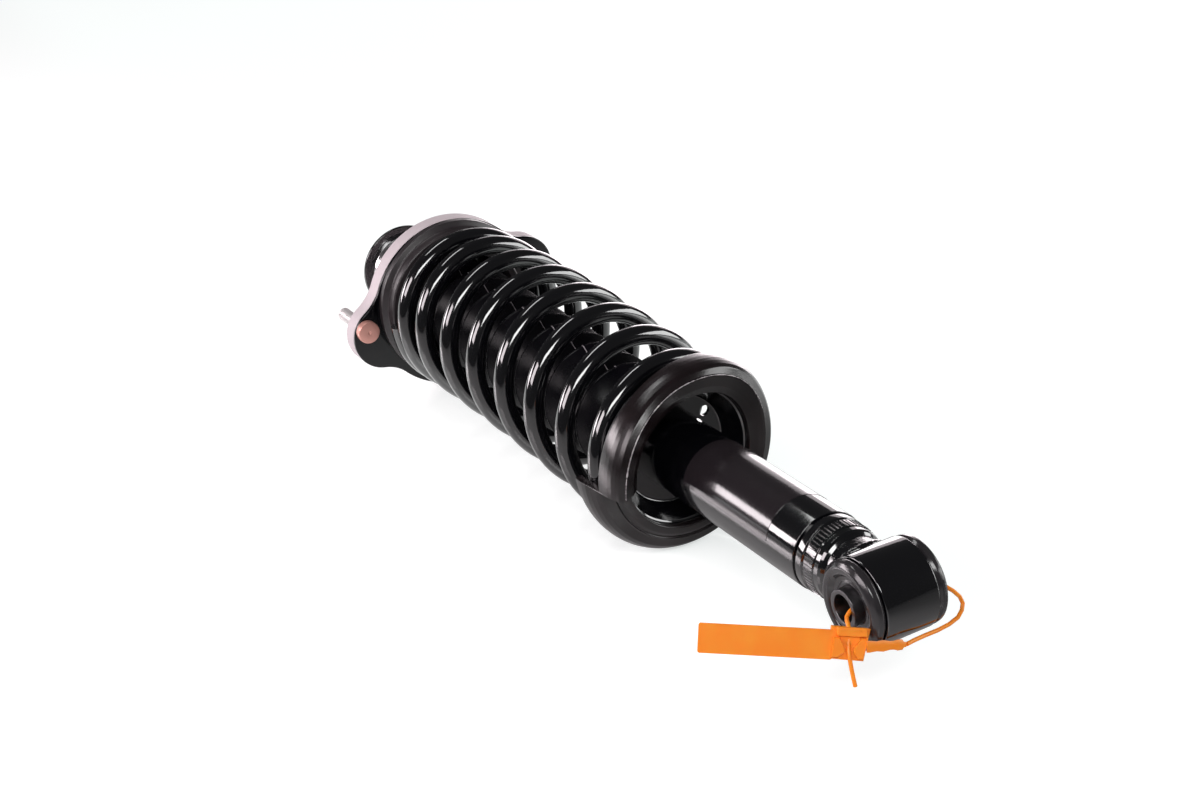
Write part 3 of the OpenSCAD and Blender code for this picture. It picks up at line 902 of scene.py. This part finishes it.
def straight(degrees, table):
    """Value at an angle on the straight lines between a table's pairs."""
    for (a0, v0), (a1, v1) in zip(table, table[1:]):
        if degrees <= a1:
            return v0 + (v1 - v0) * (degrees - a0) / (a1 - a0)
    return table[-1][1]


def eased(degrees, table):
    """The same value averaged over nearby angles, so that no corner shows."""
    near = [min(360.0, max(0.0, degrees + 3.0 * k)) for k in range(-5, 6)]
    return sum(straight(a, table) for a in near) / len(near)


def pad_section(degrees):
    """Rounded section of the pad, as (station, radius) points."""
    wire = wire_station(degrees / 360)
    reach = WIRE_R + 0.5
    tip_r, outer = eased(degrees, PAD_RIDGE_R), eased(degrees, PAD_OUTER)
    tip = COIL_START - eased(degrees, PAD_FRONT)
    edge = COIL_START - eased(degrees, PAD_INNER)
    front = COIL_START - eased(degrees, PAD_SHOULDER)
    rear = COIL_START - eased(degrees, PAD_REAR)
    rise, rim = min(front - tip + 8, (rear - tip) * 0.85), outer - tip_r
    dome = [
        (tip + rise * (1 - math.cos(t)), tip_r + rim * math.sin(t), 2.0)
        for t in (math.radians(d) for d in (32, 48, 62, 76))
    ]
    corners = [
        (edge + 1.2, PAD_INNER_R, 0.5), (edge, PAD_INNER_R + 0.6, 0.5),
        ((edge + tip) / 2, 50.0, 4.0), (tip + 0.5, tip_r - 1.2, 0.5),
        (tip - 0.25, tip_r - 0.5, 0.12), (tip - 0.25, tip_r - 0.1, 0.12),
        (tip + 0.35, tip_r + 0.35, 0.3),
        *dome, (tip + rise, outer, 3.0), (rear, outer, 0.9), (rear + 1.2, outer - 1.2, 0.8),
        (rear + 1.2, COIL_R + reach, 0.4), (min(wire, rear + 0.6), COIL_R + reach, 0.2),
        (wire - reach * 0.6, COIL_R + reach * 0.8, 2.0), (wire - reach, COIL_R, 5.0),
        (wire - reach * 0.6, COIL_R - reach * 0.8, 2.0), (wire, COIL_R - reach, 0.2),
        (wire + 3, COIL_R - reach, 0.3), (wire + 3, 45.9, 0.3), (204.2, 45.9, 0.1),
        (203.9, PAD_INNER_R, 0.2),
    ]
    return rounded(corners, steps=4)


def make_pad():
    """Sweep the section once round; the last ring joins the first at the cut."""
    bm = bmesh.new()
    rings = []
    for i in range(PAD_STEPS):
        degrees = 360 * i / PAD_STEPS
        a = math.radians(degrees)
        rings.append(new_ring(bm, [on_strut(s, r, a) for s, r in pad_section(degrees)]))
    join_rings(bm, rings, closed=True)
    pad = new_piece("seat_pad", bm, angle=35)
    return finish_piece(pad, PAD_RUBBER, "rubber", DAMPER, "lower_pad")


def make_flash():
    """Thin, pale, chipped flash that the mould left along the pad's front ridge."""
    dice = random.Random(7)
    bm = bmesh.new()
    rings, size = [], 0.25
    for i in range(FLASH_STEPS + 1):
        degrees = FLASH_FROM + (FLASH_TO - FLASH_FROM) * i / FLASH_STEPS
        a = math.radians(degrees)
        wide = 0.5 + 0.5 * max(0.0, 1 - degrees / 40)
        size += (dice.choice(FLASH_SIZES) * wide - size) * 0.5
        s = COIL_START - eased(degrees, PAD_FRONT) - 0.2
        r = eased(degrees, PAD_RIDGE_R) - 0.3
        around = ((0, size), (-size, 0), (0, -size), (0.3, 0))
        rings.append(new_ring(bm, [on_strut(s + ds, r + dr, a) for ds, dr in around]))
    join_rings(bm, rings)
    flash = new_piece("pad_flash", bm, angle=60)
    return finish_piece(flash, FLASH_RUBBER, "rubber", DAMPER)


report(make_pad(), make_flash())

# %% [markdown]
# ## The damper tube, its label and its base
#
# The tube is plain. Its base is a pressed cap with a smooth collar, a groove, and a band that
# was crimped all round by narrow dies. The dies' marks repeat, so Geometry Nodes place them.

# %% Tube and label
TUBE_WALL = 2.0
LABEL_EDGES = (9.5, 276.0)
LABEL_STEPS = 190
FILM_FACE, FILM_EDGE = 0.24, 0.06


def make_tube():
    outline = hollow(TUBE_START, TUBE_END, TUBE_R - TUBE_WALL, TUBE_R, 0.2, 0.5)
    tube = lathe("damper_tube", outline, segments=192)
    return finish_piece(tube, PAINT, "gloss_black", DAMPER, "body_tube")


def make_label():
    """A film wrapped most of the way round; its long edge shows along the tube's side."""
    low, high = TUBE_R + TOUCH_GAP, TUBE_R + FILM_FACE
    section = [
        (LABEL_START, low), (LABEL_START, high - FILM_EDGE), (LABEL_START + FILM_EDGE, high),
        (LABEL_END - FILM_EDGE, high), (LABEL_END, high - FILM_EDGE), (LABEL_END, low),
    ]
    first, last = LABEL_EDGES
    bm = bmesh.new()
    rings = []
    for i in range(LABEL_STEPS + 1):
        a = math.radians(first + (last - first) * i / LABEL_STEPS)
        rings.append(new_ring(bm, [on_strut(s, r, a) for s, r in section]))
    join_rings(bm, rings)
    label = new_piece("label", bm)
    return finish_piece(label, LABEL_FILM, "label_film", DAMPER, "body_label")


report(make_tube(), make_label())


# %% Ring of crimp marks
def ring_tree():
    """Geometry Nodes: a mark repeated round the strut, each turned to face outward."""
    tree, given = new_tree(
        "marks_round_a_ring", ("Count", "Int"), ("Ring Radius", "Float"), ("Station", "Float"))
    points, number, turn, arm, swing, copy = new_nodes(
        tree, "GeometryNodePoints", "GeometryNodeInputIndex", "ShaderNodeCombineXYZ",
        "ShaderNodeCombineXYZ", "ShaderNodeVectorRotate", "GeometryNodeInstanceOnPoints")
    share, angle = math_node(tree, "DIVIDE"), math_node(tree, "MULTIPLY", 2 * math.pi)
    swing.rotation_type = "X_AXIS"
    link(given, "Count", points, "Count")
    link(number, "Index", share, 0)
    link(given, "Count", share, 1)
    link(share, 0, angle, 0)
    link(angle, 0, turn, "X")
    link(given, "Station", arm, "X")
    link(given, "Ring Radius", arm, "Y")
    link(arm, "Vector", swing, "Vector")
    link(angle, 0, swing, "Angle")
    link(swing, "Vector", points, "Position")
    link(points, 0, copy, "Points")
    link(given, "Geometry", copy, "Instance")
    link(turn, "Vector", copy, "Rotation")
    end_tree(given, copy, "Instances")
    return tree


RING = ring_tree()
CRIMP_COUNT, CRIMP_R, CRIMP_STATION = 60, 22.55, 41.7
CRIMP_FOOT, CRIMP_TOP, CRIMP_HEIGHT = (8.2, 1.15), (7.3, 0.6325), 0.9


def crimp_mark():
    """One raised rib between two die marks, along the strut, smaller at its top."""
    bm = bmesh.new()
    bmesh.ops.create_cube(bm, size=1.0)
    for v in bm.verts:
        length, width = CRIMP_TOP if v.co.y > 0 else CRIMP_FOOT
        v.co = Vector((v.co.x * length, v.co.y * CRIMP_HEIGHT, v.co.z * width)) * MM
    bmesh.ops.bevel(bm, geom=bm.edges, offset=0.2 * MM, segments=2, affect="EDGES")
    return new_piece("crimp_mark", bm, angle=60)


def repeated(name, source, count, radius, station, material):
    """The source shape repeated round the strut."""
    modifier = source.modifiers.new("ring", "NODES")
    modifier.node_group = RING
    ring = {"count": count, "ring_radius": radius * MM, "station": station * MM}
    set_inputs(modifier, material=material, **ring)
    return baked(source, name)


def eye_plug(radius):
    """A short-lived plug along the eye's bore, for cutting."""
    return lathe("cutter", [(-40, 0, 0), (-40, radius, 0), (40, radius, 0), (40, 0, 0)], "Y", 48)


def make_base_cap():
    cap = lathe("base_cap_shell", [
        (22.0, 0.0, 0.0), (22.0, 19.4, 0.5), (29.6, 19.5, 1.5), (31.6, 21.3, 1.4),
        (33.4, 22.0, 0.8), (36.8, 22.0, 0.5), (37.6, 22.6, 0.4), (45.8, 22.6, 0.4),
        (46.1, 22.3, 0.2), (46.5, 22.3, 0.2), (47.0, 23.35, 0.4), (52.2, 23.35, 0.4),
        (52.5, 22.6, 0.3), (54.0, 22.6, 0.0), (54.0, 21.9, 0.0), (63.9, 21.9, 0.3),
        (63.9, 0.0, 0.0),
    ], segments=192)
    cut_away(cap, eye_plug(EYE_R + TOUCH_GAP))
    finish_piece(cap, PAINT, "gloss_black", DAMPER, "base_cap")
    marks = repeated("crimp_marks", crimp_mark(), CRIMP_COUNT, CRIMP_R, CRIMP_STATION, PAINT)
    finish_piece(marks, PAINT, "gloss_black", DAMPER)
    return cap, marks


report(*make_base_cap())

# %% [markdown]
# ## The lower eye
#
# The eye is a short thick ring welded across the base. A robot's weld leaves a bead of
# overlapping puddles, so the bead follows the saddle where the cap meets the ring, and its
# radius swells once a puddle.

# %% Weld bead
WELD_R = 19.6
BEAD_R, BEAD_SWELL, BEAD_PUDDLES = 2.3, 0.16, 30
BEAD_STEPS, BEAD_SIDES = 240, 14


def saddle_point(a):
    """Point on the eye ring where a tube of the weld's radius meets it."""
    y, z = WELD_R * math.cos(a), WELD_R * math.sin(a)
    return Vector((math.sqrt(EYE_R ** 2 - z * z), y, z))


def bead_ring(a):
    """Section of the bead at an angle round the weld, as points in metres."""
    ahead = (saddle_point(a + 0.01) - saddle_point(a - 0.01)).normalized()
    outward = Vector((0, math.cos(a), math.sin(a)))
    out = (outward - ahead * outward.dot(ahead)).normalized()
    side = ahead.cross(out)
    swell = BEAD_R + BEAD_SWELL * abs(math.sin(BEAD_PUDDLES / 2 * a))
    centre = saddle_point(a) + Vector((1.2, 0, 0)) - outward * 0.6
    turns = [2 * math.pi * k / BEAD_SIDES for k in range(BEAD_SIDES)]
    return [(centre + swell * (math.cos(t) * out + math.sin(t) * side)) * MM for t in turns]


def make_weld():
    bm = bmesh.new()
    turns = [2 * math.pi * i / BEAD_STEPS for i in range(BEAD_STEPS)]
    join_rings(bm, [new_ring(bm, bead_ring(a)) for a in turns], closed=True)
    bead = new_piece("weld_bead", bm, angle=60)
    cut_away(bead, eye_plug(EYE_R - 0.4))
    return finish_piece(bead, WELD_PAINT, "gloss_black", DAMPER)


report(make_weld())
repaint(WELD_PAINT, "eye_weld", "seat_weld")


# %% Eye ring, bush and sleeve
EYE_WALL = 5.0
SLEEVE_BORE_R = 8.1


def make_eye_ring():
    outline = hollow(EYE_LOW, EYE_HIGH, EYE_R - EYE_WALL, EYE_R, 0.4, 0.9)
    ring = lathe("eye_ring_turned", outline, axis="Y", segments=192)
    return finish_piece(ring, PAINT, "gloss_black", DAMPER, "eye_ring")


def make_bush():
    half = [
        (17.7, 20.96, 0.1), (17.7, 24.6, 0.5), (19.7, 25.6, 1.2), (22.6, 25.1, 2.0),
        (25.1, 21.8, 3.0), (24.6, 18.6, 2.5), (21.6, 16.4, 1.6), (20.8, 14.2, 1.0),
        (21.4, 12.6, 0.6), (21.2, 11.06, 0.2),
    ]
    middle = (EYE_LOW + EYE_HIGH) / 2
    corners = [(middle + y, r, f) for y, r, f in half]
    corners += [(middle - y, r, f) for y, r, f in reversed(half)]
    bush = lathe("eye_bush", corners, axis="Y", segments=192)
    return finish_piece(bush, BUSH_RUBBER, "rubber", DAMPER, "bush_rubber")


def make_sleeve():
    outline = hollow(-SLEEVE_HALF, SLEEVE_HALF, SLEEVE_BORE_R, SLEEVE_R, 0.7, 0.5)
    sleeve = lathe("bush_tube", outline, axis="Y", segments=128)
    return finish_piece(sleeve, DARK_STEEL, "steel", INNER, "bush_sleeve")


report(make_eye_ring(), make_bush(), make_sleeve())

# %% [markdown]
# ## The top mount
#
# A black pressed plate lies on a dull pale casting of the same outline: a disc with two lugs.
# The outline is worked out from circles and their tangent fillets, then both pieces are
# extruded from it with rounded edges.

# %% Mount outline
LUG_AT = Vector((58.0, -10.0))
LUG_R = 24.8
LUG_FILLETS = {-1: 28.0, 1: 40.0}
HOLE_R = 26.0
DISC_AT = Vector((0.0, 0.0))
# How far each half of the outline follows the disc before it turns to its lug, in radians.
DISC_SHARE = 1.2
LONG_ARC, SHORT_ARC = 40, 14
NEAR = 0.05


def arc(centre, radius, start, swing, steps):
    """Points on an arc from an angle on through a swing, in radians."""
    return [centre + on_circle(start + swing * k / steps, radius) for k in range(steps + 1)]


def heading(v):
    return math.atan2(v.y, v.x)


def wrap(a):
    """An angle brought to 0..2 pi."""
    return a % (2 * math.pi)


def fillet_centre(side):
    """Centre of the hollow fillet between the disc and the first lug."""
    d = LUG_AT.length
    r1, r2 = PLATE_R + LUG_FILLETS[side], LUG_R + LUG_FILLETS[side]
    along = (d * d + r1 * r1 - r2 * r2) / (2 * d)
    across = side * math.sqrt(r1 * r1 - along * along)
    u = LUG_AT.normalized()
    return u * along + Vector((-u.y, u.x)) * across


def half_outline():
    """Counterclockwise from the middle of the disc's lower arc, round the +Y lug, to its top."""
    low, high = fillet_centre(-1), fillet_centre(1)
    first = heading(low) - DISC_SHARE
    from_low, from_high = heading(-low), heading(LUG_AT - high)
    lug_from, lug_to = heading(low - LUG_AT), heading(high - LUG_AT)
    hollow_low = -wrap(from_low - heading(LUG_AT - low))
    hollow_high = -wrap(from_high - heading(-high))
    points = arc(DISC_AT, PLATE_R, first, DISC_SHARE, LONG_ARC)
    points += arc(low, LUG_FILLETS[-1], from_low, hollow_low, SHORT_ARC)
    points += arc(LUG_AT, LUG_R, lug_from, wrap(lug_to - lug_from), LONG_ARC)
    points += arc(high, LUG_FILLETS[1], from_high, hollow_high, SHORT_ARC)
    disc_swing = wrap(first + math.pi - heading(high))
    points += arc(DISC_AT, PLATE_R, heading(high), disc_swing, LONG_ARC)
    return points


def mount_outline():
    """Both halves of the outline, without points that lie closer than NEAR to the last one."""
    half = half_outline()
    points = []
    for p in half + [-p for p in half]:
        if not points or (p - points[-1]).length > NEAR:
            points.append(p)
    return points[:-1] if (points[0] - points[-1]).length < NEAR else points


print("outline points:", len(mount_outline()))


# %% Plate and casting
EDGE_STEPS = 4


def inset(points, distance):
    """The outline moved inward by a distance, along its own normals."""
    moved = []
    for i, p in enumerate(points):
        tangent = (points[(i + 1) % len(points)] - points[i - 1]).normalized()
        moved.append(p + Vector((-tangent.y, tangent.x)) * distance)
    return moved


def slab(name, start, end, edge):
    """Extrude the mount's outline between two stations, with rounded edges and a round hole."""
    outline = mount_outline()
    turns = [math.pi / 2 * k / EDGE_STEPS for k in range(EDGE_STEPS + 1)]
    edges = [(inset(outline, edge * (1 - math.sin(a))), edge * (1 - math.cos(a))) for a in turns]
    hole = [on_circle(heading(p), HOLE_R) for p in outline]
    loops = [(points, start + depth) for points, depth in edges]
    loops += [(points, end - depth) for points, depth in reversed(edges)]
    loops += [(hole, end), (hole, start)]
    bm = bmesh.new()
    rings = [new_ring(bm, [Vector((s, *p)) * MM for p in points]) for points, s in loops]
    join_rings(bm, rings, closed=True)
    return new_piece(name, bm)


def make_mount():
    plate = slab("top_plate", PLATE_FACE, PLATE_BACK, 0.9)
    finish_piece(plate, PLATE_PAINT, "gloss_black", ROD, "mount_plate")
    casting = slab("top_casting", PLATE_BACK, HOUSING_BACK, 0.8)
    finish_piece(casting, CAST_ALLOY, "cast_alloy", ROD, "mount_housing")
    return plate, casting


report(*make_mount())

# %% [markdown]
# Each stud is pressed in from below: a flat round head with a centre dimple on the spring's
# side, and a threaded shank above. The thread's ridges repeat, so a loop writes them into the
# outline before it is spun.

# %% Studs
STUD_Y = 72.5
STUD_TURN = math.radians(-1.2)
STUD_R = 5.0
STUD_HEAD_R = 8.2
THREAD_PITCH = 1.5
THREAD_CREST_R, THREAD_ROOT_R = STUD_R - 0.05, STUD_R - 0.85


def stud_outline():
    """Outline of a stud from its dimple to its tip, as (station, radius, corner radius)."""
    corners = [
        (STUD_FACE + 1.2, 0.0, 0.0), (STUD_FACE, 1.3, 0.2), (STUD_FACE, STUD_HEAD_R, 0.9),
        (PLATE_FACE, STUD_HEAD_R, 0.2), (PLATE_FACE, STUD_R, 0.2), (HOUSING_BACK, STUD_R, 0.2),
        (HOUSING_BACK + 1, STUD_R - 0.1, 0.2),
    ]
    s = HOUSING_BACK + 1
    while s < STUD_TOP - 2.5:
        corners.append((s + THREAD_PITCH / 2, THREAD_ROOT_R, 0.1))
        corners.append((s + THREAD_PITCH, THREAD_CREST_R, 0.1))
        s += THREAD_PITCH
    return corners + [(STUD_TOP, STUD_R - 1.2, 0.3), (STUD_TOP, 0.0, 0.0)]


def make_studs():
    bm = bmesh.new()
    for side in (-1, 1):
        before = len(bm.verts)
        lathe_mesh(bm, rounded(stud_outline(), 3), "X", 64)
        bm.verts.ensure_lookup_table()
        place = Vector((0, math.cos(STUD_TURN), math.sin(STUD_TURN))) * side * STUD_Y * MM
        bmesh.ops.translate(bm, verts=bm.verts[before:], vec=place)
    studs = new_piece("press_studs", bm)
    return finish_piece(studs, STUD_ZINC, "stud_zinc", ROD, "mount_studs")


def paint_shank_highlight():
    """The zinc is coppery on the heads; the shanks are painted pale grey, a painted highlight for
    the glare on them.
    """
    tree = STUD_ZINC.node_tree
    place, parts = new_nodes(tree, "ShaderNodeTexCoord", "ShaderNodeSeparateXYZ")
    share = ramp_node(tree, (PLATE_FACE * MM, HOUSING_BACK * MM, 0.0, 1.0), smooth=True)
    # Pale grey towards the shanks is a painted highlight.
    mix = colour_ramp(tree, (0.64, 0.32, 0.27), (0.72, 0.68, 0.68))
    link(place, "Object", parts, "Vector")
    link(parts, "X", share, "Value")
    link(share, "Result", mix, "Fac")
    link(mix, "Color", tree.nodes["Principled BSDF"], "Base Color")


report(make_studs())
paint_shank_highlight()


# %% Cup, washer, nut and upper pad
ROD_HOLE_R = 7.06
NECK_R, NECK_WAIST_R = 28.8, 27.0
WASHER_OUTER_R, WASHER_THICK = 34.0, 3.0
UPPER_INNER_R = 39.2


def make_mount_centre():
    neck = lathe("mount_cup", [
        (HOUSING_BACK, ROD_HOLE_R, 0.2), (HOUSING_BACK, NECK_R, 0.3),
        (HOUSING_BACK + 6, NECK_R, 2.0), (HOUSING_BACK + 10, NECK_WAIST_R, 2.5),
        (WASHER_STATION - 12, NECK_WAIST_R, 3.0), (WASHER_STATION - 6, NECK_R, 2.0),
        (WASHER_STATION, NECK_R, 0.4), (WASHER_STATION, ROD_HOLE_R, 0.2),
    ])
    finish_piece(neck, PLATED_STEEL, "rod_chrome", ROD, "mount_neck")
    washer_back = WASHER_STATION + WASHER_THICK
    washer = lathe("dished_washer", [
        (WASHER_STATION, ROD_HOLE_R, 0.2), (WASHER_STATION, WASHER_OUTER_R, 0.8),
        (washer_back, WASHER_OUTER_R, 1.2), (washer_back, ROD_HOLE_R, 0.2),
    ])
    finish_piece(washer, PAINT, "steel", ROD, "rod_washer")
    face = COIL_END + WIRE_R + 0.7
    upper = lathe("upper_seat_pad", [
        (face - 11, UPPER_INNER_R, 0.6), (face - 11, 43.7, 1.0), (face - 9, 45.2, 1.5),
        (face, 45.2, 0.6), (face, 54.2, 0.8), (face + 1, 55.2, 0.6),
        (PLATE_FACE - 7, 55.2, 2.0), (PLATE_FACE - 5, 59.7, 1.0),
        (PLATE_FACE, 59.7, 0.5), (PLATE_FACE, UPPER_INNER_R, 0.3),
    ], segments=192)
    upper.data.transform(Matrix.Translation(TOP_OFFSET * MM))
    finish_piece(upper, UPPER_RUBBER, "rubber", ROD, "upper_pad")
    return neck, washer, upper


report(*make_mount_centre())
repaint(BUSH_RUBBER, "mount_bush")
repaint(BRIGHT_STEEL, "rod_nut")

# %% [markdown]
# ## Hidden pieces
#
# The rod, the piston and the valves are inside. They keep their solids, and get the finish
# that a mechanic would find on them, so that the part still looks right when it is opened.

# %% Inner parts
repaint(BRIGHT_STEEL, "pressure_tube", "foot_valve", "rod_guide", "piston", "piston_nut")
repaint(PLATED_STEEL, "piston_rod")
repaint(PAINT, "tube_cap")
repaint(BUSH_RUBBER, "rod_seal", "rebound_stop")
repaint(STOP_FOAM, "bump_stop")
print("inner parts painted")

# %% [markdown]
# ## The security seal
#
# A pull-tight seal is one plastic moulding: a flat flag, a lock with a ratchet, and a strap
# that runs through the eye and back through the lock. The flag is plain here. The strap is a
# swept wire along listed points.

# %% Seal places
SEAL_AT = Vector((-17.4, 38.0, -9.0))
SEAL_ALONG = Vector((0.511, 0.847, 0.146)).normalized()
SEAL_OUT = Vector((-0.804, 0.411, 0.429))
SEAL_OUT = (SEAL_OUT - SEAL_ALONG * SEAL_OUT.dot(SEAL_ALONG)).normalized()
SEAL_DOWN = SEAL_OUT.cross(SEAL_ALONG).normalized()
NECK_FROM = Vector((-25.0, 28.0, -11.0))
NECK_TO = Vector((-25.0, 7.0, -18.2))
STRAP_POINTS = [
    (-25, 6.6, -18.2), (-23.8, 1, -18.7), (-21.6, -8, -20.3), (-20.4, -17, -21.4),
    (-19, -26, -21.8), (-17.8, -33, -20.8), (-16.2, -37, -18.6), (-14.6, -39, -15.8),
    (-13, -38.4, -12.2), (-10.6, -35.8, -8.6), (-7.8, -32.6, -5.8), (-5.4, -29.4, -4),
    (-5, -25, -3), (-4.4, -14, -2.4), (-4, 0, -2.4), (-4.2, 13, 0.5), (-4.7, 20, 1.6),
    (-5, 25.2, 2), (-5.6, 28.8, 0.6), (-6.8, 31.2, -0.5), (-9.4, 33, -0.8), (-12.2, 34.3, -1.2),
    (-14.4, 35.4, -3.2),
]
# The strap's way down through the lock, out at its front and on to the cut tip, in the
# seal's own directions.
TAIL_PLACES = [
    (0.0, -3.0, -0.6), (0.2, 0.0, 0.0), (0.2, 3.0, 1.5), (-0.5, 7.5, 2.5), (-1.8, 13.0, 1.9),
    (-3.2, 18.0, 1.0), (-4.5, 22.2, 0.4),
]
STRAP_R, STRAP_SIDES = 1.19, 16


def seal_place(along, down, out):
    """A point of the seal, in millimetres along the flag, down it, and out of its face."""
    return SEAL_AT + SEAL_ALONG * along + SEAL_DOWN * down + SEAL_OUT * out


print("seal at", SEAL_AT[:])


# %% Flag and lock
def add_plate(bm, outline, back, front, edge):
    """A flat moulding in the seal's plane, from its outline of (along, down) corners."""
    outline = [Vector(p) for p in outline]
    centre = sum(outline, Vector((0, 0))) / len(outline)
    small = [p + (centre - p).normalized() * edge for p in outline]
    layers = ((small, back), (outline, back + edge), (outline, front - edge), (small, front))
    rings = [new_ring(bm, [seal_place(*p, out) * MM for p in points]) for points, out in layers]
    join_rings(bm, rings)


def soft_rectangle(x0, x1, y0, y1, radius):
    """Outline of a rounded rectangle."""
    return rounded([(x0, y0, radius), (x1, y0, radius), (x1, y1, radius), (x0, y1, radius)])


def seal_part(name, node, bm, angle=30.0):
    """A moulded part of the seal, in the place of one solid."""
    return finish_piece(new_piece(name, bm, angle), SEAL_PLASTIC, "seal_plastic", DAMPER, node)


def moulding(name, node, *plates):
    """A part of the seal built up from flat plates."""
    bm = bmesh.new()
    for plate in plates:
        add_plate(bm, *plate)
    return seal_part(name, node, bm)


flag = moulding(
    "seal_tag", "seal_flag",
    (soft_rectangle(8.6, 78.8, -6.9, 8.9, 1.2), -0.65, 0.65, 0.2),
)
lock = moulding(
    "seal_lock", "seal_head",
    ([(-10.9, -8.2), (9.6, -8.9), (10.8, 8.3), (-8.0, 8.9)], -3.4, 0.7, 0.5),
    (soft_rectangle(-9.2, 6.8, -8.7, -4.0, 1.0), 0.6, 3.0, 0.5),
    (soft_rectangle(-5.8, 5.4, -7.4, -6.5, 0.4), 2.9, 3.4, 0.2),
    ([(-9.7, -3.2), (-6, -3.2), (-2.5, 2.4), (-2.5, 4.6), (-5, 7.6), (-7.6, 7.8)], 0.6, 2.9, 0.4),
    ([(5.3, -3.2), (8.4, -3.2), (9.4, 7.2), (6, 7.2), (2.2, 4.6), (2.2, 2.4)], 0.6, 2.9, 0.4),
)
report(flag, lock)

# %% Strap and neck
# Share of the neck's length, and half its width there.
NECK_WIDTHS = (
    (-0.2, 3.0), (-0.12, 3.1), (0.1, 2.6), (0.3, 3.0), (0.5, 2.3), (0.62, 2.3), (0.74, 2.9),
    (0.88, 2.7), (0.93, 1.5), (1.0, 1.3),
)
# Share of the half width across, and millimetres out.
NECK_SECTION = (
    (-1, -0.6), (-0.8, -0.9), (0.8, -0.9), (1, -0.6), (1, 0.6), (0.8, 0.9), (-0.8, 0.9), (-1, 0.6),
)


def make_strap():
    path = [Vector(p) for p in STRAP_POINTS] + [seal_place(*p) for p in TAIL_PLACES]
    strap = swept("seal_loop", [p * MM for p in path], STRAP_R * MM, STRAP_SIDES, SEAL_PLASTIC)
    return finish_piece(strap, SEAL_PLASTIC, "seal_plastic", DAMPER, "seal_strap")


def make_neck():
    """The moulding between the lock and the strap, waisted twice."""
    length = (NECK_TO - NECK_FROM).length
    along = (NECK_TO - NECK_FROM).normalized()
    across = SEAL_OUT.cross(along).normalized()
    bm = bmesh.new()
    rings = []
    for share, half in NECK_WIDTHS:
        centre = NECK_FROM + along * share * length
        points = [(centre + across * half * x + SEAL_OUT * y) * MM for x, y in NECK_SECTION]
        rings.append(new_ring(bm, points))
    join_rings(bm, rings)
    return seal_part("seal_grip", "seal_neck", bm, angle=50)


report(make_strap(), make_neck())

# %% The solid model's box
print("cad box", cad_box)
